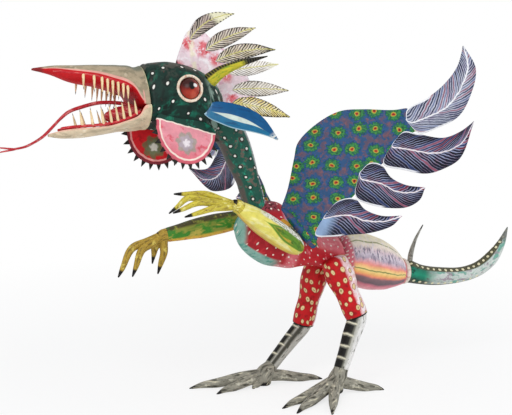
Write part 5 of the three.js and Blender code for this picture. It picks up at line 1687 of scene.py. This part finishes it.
@dataclass
class Wing:
    """A cupped card wing with four long feathers on its trailing edge."""

    name: str
    side: int
    pose: WingPose
    span: float = 220
    height: float = 230
    card: float = 2.6
    root_radius: float = 6.5
    lead: tuple = ((-0.04, 0.14), (-0.005, 0.24), (0.027, 0.4), (0.045, 0.48), (0.14, 0.575), (0.27, 0.645),
                   (0.4, 0.655), (0.56, 0.652), (0.64, 0.665))
    trail: tuple = ((0.15, -0.06), (0.19, 0.06), (0.35, 0.2), (0.43, 0.3), (0.51, 0.376), (0.585, 0.43),
                    (0.665, 0.535), (0.685, 0.545), (0.7, 0.555))
    feathers: tuple = (
        (((0.63, 0.6), (0.635, 0.655), (0.74, 0.715), (0.84, 0.8), (0.905, 0.89), (0.936, 0.996)),
         ((0.63, 0.6), (0.7, 0.535), (0.81, 0.568), (0.915, 0.628), (0.98, 0.748), (1.004, 0.88),
          (0.936, 0.996)), 0.06),
        (((0.565, 0.485), (0.62, 0.54), (0.69, 0.53), (0.83, 0.512), (0.92, 0.546), (0.996, 0.602)),
         ((0.565, 0.485), (0.51, 0.37), (0.62, 0.342), (0.745, 0.325), (0.84, 0.354), (0.925, 0.41),
          (0.996, 0.602)), -0.06),
        (((0.385, 0.325), (0.44, 0.375), (0.5, 0.366), (0.553, 0.301), (0.63, 0.264), (0.736, 0.252)),
         ((0.385, 0.325), (0.365, 0.196), (0.46, 0.155), (0.555, 0.143), (0.645, 0.15), (0.71, 0.189),
          (0.736, 0.252)), -0.06),
        (((0.2, 0.1), (0.27, 0.175), (0.36, 0.19), (0.416, 0.134), (0.505, 0.102), (0.614, 0.104)),
         ((0.2, 0.1), (0.15, -0.002), (0.24, -0.008), (0.34, 0.003), (0.45, 0.014), (0.565, 0.053),
          (0.614, 0.104)), -0.06),
    )

    def matrix(self, trunk: Trunk) -> Matrix:
        """Return the wing's own frame: X along its span, Y up its height, Z out of the card.

        Args:
            trunk: The body that it sits on.

        Returns:
            The frame.
        """
        p = self.pose
        yaw, tilt, roll = (math.radians(a) for a in (p.yaw, p.tilt, p.roll))
        out = Vector((math.cos(yaw) * math.cos(tilt), math.sin(yaw) * math.cos(tilt), math.sin(tilt)))
        face = -VERTICAL.cross(out).normalized()
        up = Matrix.Rotation(roll, 3, out) @ face.cross(out)
        basis = Matrix((out, up, out.cross(up))).transposed().to_4x4()
        spot = trunk.chest + Vector((p.back, self.side * p.out, p.rise))
        return Matrix.Translation(spot) @ basis

    def cup(self, p: Vector) -> float:
        """Return how far the card stands out of its plane at a point."""
        return self.pose.cup * math.sin(math.pi * min(max(p.x, 0), self.span) / self.span)

    def build(self, bench: Bench, trunk: Trunk, panel_paint: Material,
              vane_paints: Sequence[Material]) -> None:
        """Make and deliver the panel and its feathers.

        Args:
            bench: Places, paints and names the pieces.
            trunk: The body that it sits on.
            panel_paint: The panel's finish.
            vane_paints: The feathers' finishes.
        """
        matrix = self.matrix(trunk)
        lead, trail = ([(x * self.span, y * self.height) for x, y in t] for t in (self.lead, self.trail))
        skin = Skin()
        skin.card(lead, trail, along=40, across=24, tip=1.6, matrix=matrix, cup=self.cup, flat_map=True)
        bench.deliver(skin, f"{self.name}_wing_card", [f"{self.name}_wing_panel"],
                      [panel_paint], card=self.card)
        front, rear = Vector((*lead[0], 0)), Vector((*trail[0], 0))
        bar = [front.lerp(rear, s) for s in (0.02, 0.35, 0.7, 1)]
        skin = Skin()
        skin.tube(round_stations(bar, [self.root_radius * s for s in (0.45, 0.9, 1, 0.7)]), 14, 14,
                  across=VERTICAL, matrix=matrix)
        joint = matrix @ front.lerp(rear, 0.55)
        inner = Vector((joint.x, self.side * trunk.half_wide * 0.3, trunk.axis_height - trunk.drop * 0.4))
        skin.tube(round_stations([joint, joint.lerp(inner, 0.5), inner],
                                 [self.root_radius * s for s in (1, 1.15, 1.3)]), 6, 14)
        bench.deliver(skin, f"{self.name}_wing_root", [f"{self.name}_wing_panel"],
                      [panel_paint])
        for i, (upper, lower, bow) in enumerate(self.feathers):
            edges = [[(x * self.span, y * self.height) for x, y in t] for t in (upper, lower)]
            skin = Skin()
            skin.card(*edges, along=36, across=12, tip=1.6, matrix=matrix, cup=self.cup, rib_bow=bow)
            bench.deliver(skin, f"{self.name}_wing_vane_{i + 1}", [f"{self.name}_wing_feather_{i + 1}"],
                          [vane_paints[i]], card=self.card * 1.3)


@dataclass
class Arm:
    """Upper arm, forearm and a hand of four clawed fingers."""

    name: str
    side: int
    shoulder: tuple[float, float, float]
    elbow: tuple[float, float, float]
    wrist: tuple[float, float, float]
    upper_radius: float
    fore_radius: float
    wrist_radius: float
    finger_radius: float
    fingers: tuple
    reach: float = 90
    palm_radius: float = 7.5
    claw_radius: float = 0.9
    claw_length: float = 13

    def joints(self, trunk: Trunk) -> list[Vector]:
        """Return shoulder, elbow and wrist; each is given from the one before it.

        Args:
            trunk: The body that it sits on.

        Returns:
            The three joints.
        """
        spots, at = [], trunk.chest
        for back, out, rise in (self.shoulder, self.elbow, self.wrist):
            at = at + Vector((back, self.side * out, rise))
            spots.append(at)
        return spots

    def build(self, bench: Bench, trunk: Trunk, paints: dict[str, Material]) -> None:
        """Make and deliver the three pieces of the arm.

        Args:
            bench: Places, paints and names the pieces.
            trunk: The body that it sits on.
            paints: The finishes of the limbs by name.
        """
        shoulder, elbow, wrist = self.joints(trunk)
        turned = {"seam": 90, "turn": -self.side}
        skin = Skin()
        skin.tube(round_stations([shoulder.lerp(elbow, s) for s in (0, 0.3, 0.75, 1)],
                                 [self.upper_radius * s for s in (0.7, 1, 0.95, 0.8)]), 18, 24, **turned)
        bench.deliver(skin, f"{self.name}_upper_arm_skin", [f"{self.name}_upper_arm"],
                      [paints["shoulder"]])
        stations = [elbow.lerp(wrist, s) for s in (-0.1, -0.05, 0.06, 0.3, 0.55, 0.82, 1)]
        radii = [self.fore_radius * s for s in (0.2, 0.58, 0.86, 1, 1, 0.8)] + [self.wrist_radius]
        skin = Skin()
        skin.tube(round_stations(stations, radii), 34, 24, **turned)
        bench.deliver(skin, f"{self.name}_forearm_skin", [f"{self.name}_forearm"],
                      [paints[f"{self.name}_forearm"]])
        ahead = (wrist - elbow).normalized()
        root = wrist + ahead * self.palm_radius * 0.5
        skin = Skin()
        skin.tube(round_stations([wrist + ahead * self.palm_radius * s for s in (-0.5, 0.5, 1.6)],
                                 [self.wrist_radius, self.palm_radius * 1.1, self.palm_radius * 0.6]),
                  10, 16, **turned)
        for knuckle, tip in self.fingers:
            bent, end = (wrist + Vector(p) * self.reach for p in (knuckle, tip))
            claw = end.lerp(bent, self.claw_length / (end - bent).length)
            radii = [self.finger_radius * s for s in (1.3, 1.15, 1, 0.7)] + [self.claw_radius]
            skin.tube(round_stations([root, root.lerp(bent, 0.5), bent, claw, end], radii), 26, 10,
                      lumps=0.15, **turned)
        bench.deliver(skin, f"{self.name}_hand_skin", [f"{self.name}_hand"],
                      [paints[f"{self.name}_hand"]])


@dataclass
class Leg:
    """Thigh, shank and a four-toed foot."""

    name: str
    side: int
    hip: tuple[float, float, float]
    knee: tuple[float, float, float]
    ankle: tuple[float, float, float]
    foot: tuple[float, float]
    thigh_radius: float
    knee_radius: float
    shank_radius: float
    ankle_radius: float
    toes: tuple
    reach: float = 100
    hub_radius: float = 11.5
    toe_radius: float = 7.7
    claw_radius: float = 1
    pressed: float = 0.9

    def joints(self, trunk: Trunk) -> list[Vector]:
        """Return hip, knee, ankle and hub; across they follow on, heights are over the ground.

        Args:
            trunk: The body that it sits on.

        Returns:
            The four joints.
        """
        hip = trunk.rump + Vector((-self.hip[0], self.side * self.hip[1], self.hip[2]))
        knee = Vector((hip.x + self.knee[0], hip.y + self.side * self.knee[1], self.knee[2]))
        ankle = Vector((knee.x - self.ankle[0], knee.y + self.side * self.ankle[1], self.ankle[2]))
        hub = Vector((ankle.x - self.foot[0], ankle.y + self.side * self.foot[1],
                      self.hub_radius - self.pressed))
        return [hip, knee, ankle, hub]

    def build(self, bench: Bench, trunk: Trunk, paints: dict[str, Material]) -> None:
        """Make and deliver the three pieces of the leg.

        Args:
            bench: Places, paints and names the pieces.
            trunk: The body that it sits on.
            paints: The finishes of the limbs by name.
        """
        hip, knee, ankle, hub = self.joints(trunk)
        turned = {"seam": 0 if self.side < 0 else 180, "turn": -self.side}
        thigh = self.thigh_radius
        skin = Skin()
        skin.tube(round_stations([hip.lerp(knee, s) for s in (0, 0.3, 0.62, 0.86, 1)],
                                 [0.86 * thigh, thigh, 0.79 * thigh, 1.07 * self.knee_radius,
                                  self.knee_radius]), 28, 26, **turned)
        bench.deliver(skin, f"{self.name}_thigh_skin", [f"{self.name}_thigh"],
                      [paints["thigh"]])
        points = [knee.lerp(hip, 0.06), knee, knee.lerp(ankle, 0.4), knee.lerp(ankle, 0.75), ankle]
        radii = [self.shank_radius * s for s in (0.94, 1, 0.9)] + [self.ankle_radius * 1.06,
                                                                   self.ankle_radius]
        skin = Skin()
        skin.tube(round_stations(points, radii), 26, 22, **turned)
        bench.deliver(skin, f"{self.name}_shank_skin", [f"{self.name}_shank"],
                      [paints["shank"]])
        sole = Vector((hub.x, hub.y, 0))
        points = [ankle.lerp(hub, -0.25), ankle, ankle.lerp(hub, 0.55), hub, sole]
        radii = [self.ankle_radius, self.ankle_radius, self.hub_radius, self.hub_radius,
                 self.hub_radius * 0.8]
        skin = Skin()
        skin.tube(round_stations(points, radii), 16, 20, cap=0, **turned)
        for (x, y), size in self.toes:
            thick = self.toe_radius * size
            heights = (ankle.z * 0.62, thick * 1.5, thick * 0.86, thick * 0.62, self.claw_radius)
            line = [Vector((hub.x + self.reach * s * x, hub.y + self.reach * s * y, h - self.pressed))
                    for s, h in zip((0, 0.3, 0.62, 0.84, 1), heights)]
            radii = [thick * s for s in (1.1, 1, 0.8, 0.5)] + [self.claw_radius]
            skin.tube(round_stations(line, radii), 28, 12, lumps=0.2)
        bmesh.ops.bisect_plane(skin.bm, geom=[*skin.bm.verts, *skin.bm.edges, *skin.bm.faces],
                               plane_co=(0, 0, 0), plane_no=(0, 0, -1), clear_outer=True)
        rim = [e for e in skin.bm.edges if e.is_boundary]
        bmesh.ops.holes_fill(skin.bm, edges=rim)
        bench.deliver(skin, f"{self.name}_foot_skin", [f"{self.name}_foot"], [paints["foot"]])


class LimbPaints:
    """The finishes of arms and legs."""

    def near_forearm(self) -> Material:
        """Pale yellow with a green and orange lens towards the elbow and a feathery white upper edge.

        Returns:
            The material.
        """
        work = Brushwork("acrylic on papier-mache, near forearm", "#e3d868")
        height = work.add("Math", (work.off, 2.0), operation="MULTIPLY")
        work.lay("#efe9a4", work.patches(12, 0.48, 0.62, seed=3, stretch=(1.4, 0.3)))
        work.lay("#d9b548", work.edge(height, 0.72, 0.84), 0.8)
        work.lay("#a8762e", work.edge(height, 0.9, 0.95), 0.7)
        swell = work.band(work.along, 0.1, 0.62, 0.16)
        place = work.add("Math", (height, 0.43), operation="SUBTRACT")
        place = work.add("Math", (place,), operation="ABSOLUTE")
        lens = work.add("Math", (swell, -0.2, place), operation="MULTIPLY_ADD")
        work.lay("#5f8c28", work.edge(lens, 0.01, -0.03))
        work.lay("#c9a53a", work.edge(lens, -0.05, -0.09),
                 work.patches(14, 0.46, 0.56, seed=6, stretch=(1.4, 0.4)))
        work.lay("#4a7424", work.edge(lens, -0.06, -0.1),
                 work.patches(8, 0.5, 0.6, seed=8, stretch=(1.4, 0.4)))
        edge = work.both(work.edge(height, 0.34, 0.26), work.edge(work.along, 0.84, 0.7))
        work.lay("#7f866a", edge, 0.85)
        work.lay("#f4f2e8", edge, work.patches(3, 0.42, 0.5, seed=2, stretch=(1.3, 0.6)))
        return work.finish()

    def far_forearm(self) -> Material:
        """Olive and green patches under a dark upper edge, with a golden lower edge and a red ring.

        Returns:
            The material.
        """
        work = Brushwork("acrylic on papier-mache, far forearm", "#8d963c")
        height = work.add("Math", (work.off, 2.0), operation="MULTIPLY")
        work.lay("#3f852a", work.patches(16, 0.44, 0.54, seed=3, stretch=(1.2, 0.5)))
        work.lay("#b7a84a", work.patches(12, 0.54, 0.62, seed=6, stretch=(1.2, 0.5)))
        work.lay("#4f4a2e", work.edge(height, 0.34, 0.22), work.patches(9, 0.36, 0.5, seed=5))
        work.lay("#dcb13e", work.edge(height, 0.62, 0.72))
        work.lay("#c07a30", work.edge(height, 0.66, 0.76), work.patches(8, 0.5, 0.6, seed=7))
        work.lay("#b82024", work.edge(work.along, 0.08, 0.05))
        return work.finish()

    def hand(self, name: str, ground: str, streak: str, patch: str) -> Material:
        """Paint a hand in one colour with streaks and black claws.

        Args:
            name: Which hand it is.
            ground: Hex colour of the hand.
            streak: Hex colour of its streaks.
            patch: Hex colour of its lights.

        Returns:
            The material.
        """
        work = PlainPaint(f"acrylic on papier-mache, {name} hand", ground, streak, patch, tip="#141311",
                          tip_from=0.82, streak_size=5).start()
        work.lay("#6a5226", work.patches(3, 0.6, 0.66, seed=9), 0.8)
        return work.finish()

    def thigh(self) -> Material:
        """Saturated red with ragged cream spots, a painted highlight in pink-white over the rear and a
        black cuff.

        Returns:
            The material.
        """
        work = Brushwork("acrylic on papier-mache, thigh", "#c4121a")
        work.lay("#9c0d16", work.patches(12, 0.52, 0.64))
        # Pink-white patches over the rear flank are a painted highlight
        pale = work.both(work.band(work.across, 0.1, 0.48, 0.025), work.patches(20, 0.24, 0.34, seed=5))
        work.lay("#efc9cb", pale)
        work.lay("#f8f0f0", pale, work.patches(8, 0.46, 0.56, seed=1))
        for shade, radius, soft in (("#93301a", 3.7, 1.6), ("#e9d39c", 2.95, 1.0)):
            work.lay(shade, work.dots(10, radius, soft, 0.6, tall=1.25, vary=0.16))
        olive = work.dots(10, 1.5, 1.3, 0.6, tall=1.25, vary=0.16)
        work.lay("#8d8348", olive, work.patches(4, 0.44, 0.52, seed=8))
        work.lay("#17130f", work.edge(work.along, 0.945, 0.96))
        return work.finish()

    def shank(self) -> Material:
        """Grey with a pale rear and a front strip of black blocks between cream lines.

        Returns:
            The material.
        """
        work = Brushwork("acrylic on papier-mache, shank", "#c0bfb6")
        work.lay("#eeedea", work.band(work.across, 0.14, 0.5, 0.04))
        work.lay("#66655a", work.patches(5, 0.55, 0.63, stretch=(1.5, 0.4)))
        work.lay("#45443b", work.band(work.across, 0.88, 0.97, 0.03))
        wave = work.add("Math", (work.down, CM / 14.5), operation="MULTIPLY")
        step = work.add("Math", (wave,), operation="FRACT")
        work.lay("#77766a", work.band(work.across, 0.56, 0.86, 0.015))
        work.lay("#d6d1ba", work.edge(step, 0.17, 0.11), work.band(work.across, 0.55, 0.88, 0.03))
        work.lay("#141310", work.band(step, 0.24, 0.94, 0.05), work.band(work.across, 0.59, 0.83, 0.02))
        return work.finish()

    def shoulder(self) -> Material:
        """Olive grey with a worn golden root and fine pale dots.

        Returns:
            The material.
        """
        work = Brushwork("acrylic on papier-mache, shoulder", "#4a4d35")
        work.lay("#6a6a44", work.patches(5, 0.5, 0.6))
        root = work.edge(work.along, 0.5, 0.36)
        work.lay("#c9912f", root)
        work.lay("#a8641f", root, work.patches(6, 0.52, 0.6, seed=4))
        work.lay("#b3202a", work.edge(work.along, 0.2, 0.15))
        work.lay("#d8d3b4", work.dots(4.2, 0.75, 0.4, 0.6), work.edge(work.along, 0.4, 0.5))
        return work.finish()

    def foot(self) -> Material:
        """Grey with dark and pale streaks and black claws.

        Returns:
            The material.
        """
        work = PlainPaint("acrylic on papier-mache, foot", "#959285", "#4b4a40", "#c2bfae", tip="#1c1a17",
                          tip_from=0.87, streak_size=7).start()
        work.lay("#dcd6bc", work.patches(5, 0.58, 0.66, seed=8, stretch=(1.8, 0.25)), 0.9)
        return work.finish()

    def make(self) -> dict[str, Material]:
        """Return the finishes of arms and legs by name.

        Returns:
            The finishes by name.
        """
        return {
            "shoulder": self.shoulder(), "thigh": self.thigh(), "shank": self.shank(), "foot": self.foot(),
            "left_forearm": self.near_forearm(), "right_forearm": self.far_forearm(),
            "left_hand": self.hand("near", "#d2c348", "#a8923a", "#e8df8c"),
            "right_hand": self.hand("far", "#b3943a", "#80692c", "#d0bc5c"),
        }


LEFT_ARM = Arm("left", -1, (41, 22, 9), (21, 21, -29), (-77, 7, 53), 13, 14.5, 8, 4, (
    ((-0.46, 0.03, 0.205), (-0.88, 0.07, 0.225)), ((-0.73, -0.04, 0.18), (-0.99, -0.04, 0)),
    ((-0.62, -0.13, 0.125), (-0.98, -0.15, 0.02)), ((-0.46, -0.2, 0.05), (-0.86, -0.24, -0.025)),
))
RIGHT_ARM = Arm("right", 1, (41, 20, 4), (-18, 8, 2), (-93, 16, -16), 13, 12.8, 8.6, 5, (
    ((-0.47, 0.04, -0.15), (-0.66, 0.06, -0.53)), ((-0.36, -0.04, -0.17), (-0.5, -0.05, -0.515)),
    ((-0.12, 0.1, -0.18), (-0.15, 0.13, -0.4)), ((-0.03, 0, -0.23), (-0.13, -0.02, -0.515)),
))
LEFT_LEG = Leg("left", -1, (17, 20, 3), (24.5, 17, 88), (28, 11, 27), (9.5, 4), 18.3, 13.8, 12.2, 9, (
    ((-0.87, -0.32), 1), ((-0.8, -0.56), 1.08), ((-0.45, -0.77), 0.96), ((0.6, -0.14), 0.98),
))
RIGHT_LEG = Leg("right", 1, (17, 18, -2), (-16, 12, 68), (49, -9, 22), (12, -4), 17, 13.4, 11, 8.4, (
    ((-0.9, 0.22), 1), ((-0.69, -0.14), 0.92), ((-0.2, -0.12), 0.85), ((0.78, -0.08), 0.95),
))
LEFT_WING = WingPose(59, 26, -8, 10, -30, 0, -14)
RIGHT_WING = WingPose(57.6, 28.3, 28.6, 27.7, 77, -28.7, -23.3)


@dataclass
class Studio:
    """Pale floor, plain soft light and the photograph's camera."""

    azimuth: float = -25
    elevation: float = 9
    lens: float = 100
    sensor: float = 36
    distance: float = 1706.7
    target_height: float = 226.3
    floor_half: float = 60
    shaded_to: float = 0.3
    white_from: float = 0.8
    near_white: float = 0.74
    room_level: float = 0.72
    lamps: tuple = (("softbox", (-1.3, -1.6, 1.9), 26.0, 1.5), ("fill", (1.8, -1.2, 1.2), 8.0, 1.8))

    def camera(self, placement: Placement) -> None:
        """Set the camera at the photograph's angle.

        Args:
            placement: Turns the bird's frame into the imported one.
        """
        a, e = math.radians(self.azimuth), math.radians(self.elevation)
        back = Vector((math.sin(a) * math.cos(e), -math.cos(a) * math.cos(e), math.sin(e)))
        data = bpy.data.cameras.new("view")
        data.lens, data.sensor_width = self.lens, self.sensor
        camera = bpy.data.objects.new("view", data)
        bpy.context.scene.collection.objects.link(camera)
        camera.location = placement.spot(0, 0, self.target_height) + back * self.distance * MM
        camera.rotation_mode = "QUATERNION"
        camera.rotation_quaternion = (-back).to_track_quat("-Z", "Y")
        bpy.context.scene.camera = camera

    def floor(self) -> None:
        """Lay a white floor that keeps the figure's shadow and looks white to the camera."""
        bm = bmesh.new()
        bmesh.ops.create_grid(bm, x_segments=2, y_segments=2, size=self.floor_half)
        mesh = bpy.data.meshes.new("floor")
        bm.to_mesh(mesh)
        bm.free()
        floor = bpy.data.objects.new("floor", mesh)
        bpy.context.scene.collection.objects.link(floor)
        paper = bpy.data.materials.new("white seamless paper")
        paper.use_nodes = True
        tree = paper.node_tree
        tree.nodes.clear()
        matt = add_node(tree, "BsdfDiffuse", {"Color": "#f6f6f6"})
        glow = add_node(tree, "Emission", {"Color": "#ffffff", "Strength": 1.0})
        seen = add_node(tree, "LightPath")
        spot = add_node(tree, "TexCoord").node.outputs["Object"]
        away = add_node(tree, "VectorMath", (spot,), operation="LENGTH").node.outputs["Value"]
        plain = add_node(tree, "MapRange", {"Value": away, "From Min": self.shaded_to,
                                            "From Max": self.white_from, "To Min": self.near_white})
        mostly = add_node(tree, "Math", (seen, plain), operation="MULTIPLY")
        shown = add_node(tree, "MixShader", (mostly, matt, glow))
        add_node(tree, "OutputMaterial", {"Surface": shown})
        mesh.materials.append(paper)

    def light(self) -> None:
        """Light evenly from all round, with one broad soft lamp above the left front."""
        world = bpy.data.worlds.new("soft room")
        bpy.context.scene.world = world
        world.use_nodes = True
        tree = world.node_tree
        tree.nodes.clear()
        path = add_node(tree, "LightPath").node
        seen = add_node(tree, "Math", (path.outputs["Is Camera Ray"], path.outputs["Is Transmission Ray"]),
                        operation="MAXIMUM")
        room = add_node(tree, "Background", {"Color": "#f7f9fc", "Strength": self.room_level})
        white = add_node(tree, "Background", {"Color": "#ffffff", "Strength": 1.0})
        shown = add_node(tree, "MixShader", (seen, room, white))
        add_node(tree, "OutputWorld", {"Surface": shown})
        for name, spot, power, size in self.lamps:
            data = bpy.data.lights.new(name, "AREA")
            data.energy, data.size = power, size
            lamp = bpy.data.objects.new(name, data)
            lamp.location = spot
            lamp.rotation_mode = "QUATERNION"
            lamp.rotation_quaternion = (Vector((0, 0, 0.2)) - Vector(spot)).to_track_quat("-Z", "Y")
            bpy.context.scene.collection.objects.link(lamp)

    def build(self, placement: Placement) -> None:
        """Set up the whole studio.

        Args:
            placement: Turns the bird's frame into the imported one.
        """
        bpy.context.scene.view_settings.view_transform = "Standard"
        self.camera(placement)
        self.floor()
        self.light()


def dress_wires() -> None:
    """Give the armature's wires, which stay as they are in the frame, a galvanised finish."""
    wire = bpy.data.materials.new("galvanised wire")
    wire.use_nodes = True
    tree = wire.node_tree
    tree.nodes.clear()
    place = add_node(tree, "TexCoord").node.outputs["Object"]
    spangle = add_node(tree, "TexVoronoi", {"Vector": place, "Scale": 500.0})
    shade = add_node(tree, "ValToRGB", (spangle,), stops=((0.0, "#7d7f82"), (1.0, "#a9abae")))
    shader = add_node(tree, "BsdfPrincipled", {"Base Color": shade, "Metallic": 1.0, "Roughness": 0.42})
    add_node(tree, "OutputMaterial", {"Surface": shader})
    for name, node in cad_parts.items():
        if name.endswith("_wire"):
            node.data.materials.clear()
            node.data.materials.append(wire)


def main() -> None:
    """Build the figure piece by piece and report each one."""
    trunk, neck, skull, beak, crest = Trunk(), NeckPiece(), Skull(), Beak(), Crest()
    placement = Placement(trunk.chest_x)
    bench = Bench(placement)
    Studio().build(placement)
    trunk.build(bench)
    neck.build(bench, trunk)
    skull.seat(neck.head_spot(trunk))
    skull.build(bench)
    beak.build(bench, skull.matrix)
    crest.build(bench, skull.matrix)
    panel = EyeSpotPaint().make()
    barbs = ((0.0, "#12152c"), (0.45, "#26355e"), (0.62, "#6b2436"), (0.74, "#0b0e1c"), (0.9, "#8d4f63"))
    pale = ((0.0, "#39435f"), (0.4, "#6c7899"), (0.62, "#8f5f70"), (0.8, "#232b45"))
    outer = BarbPaint("acrylic barbs on card, outer feather", "#bcbfce", "#a39eb4", pale, "#f1f2f5",
                      "#f1f2f5", 4.8, slant=1.7, inked=0.34).make()
    others = [BarbPaint(f"acrylic barbs on card, feather {i}", "#8d93b2", "#8a6f86", barbs, "#efe6ea",
                        "#f1f2f7", 5.5, slant=1.8, root="#8fa9cc" if i == 4 else "", inked=0.45).make()
              for i in (2, 3, 4)]
    for name, side, pose in (("left", -1, LEFT_WING), ("right", 1, RIGHT_WING)):
        Wing(name, side, pose).build(bench, trunk, panel, [outer, *others])
    paints = LimbPaints().make()
    for arm in (LEFT_ARM, RIGHT_ARM):
        arm.build(bench, trunk, paints)
    for leg in (LEFT_LEG, RIGHT_LEG):
        leg.build(bench, trunk, paints)
    dress_wires()


if __name__ == "__main__":
    main()
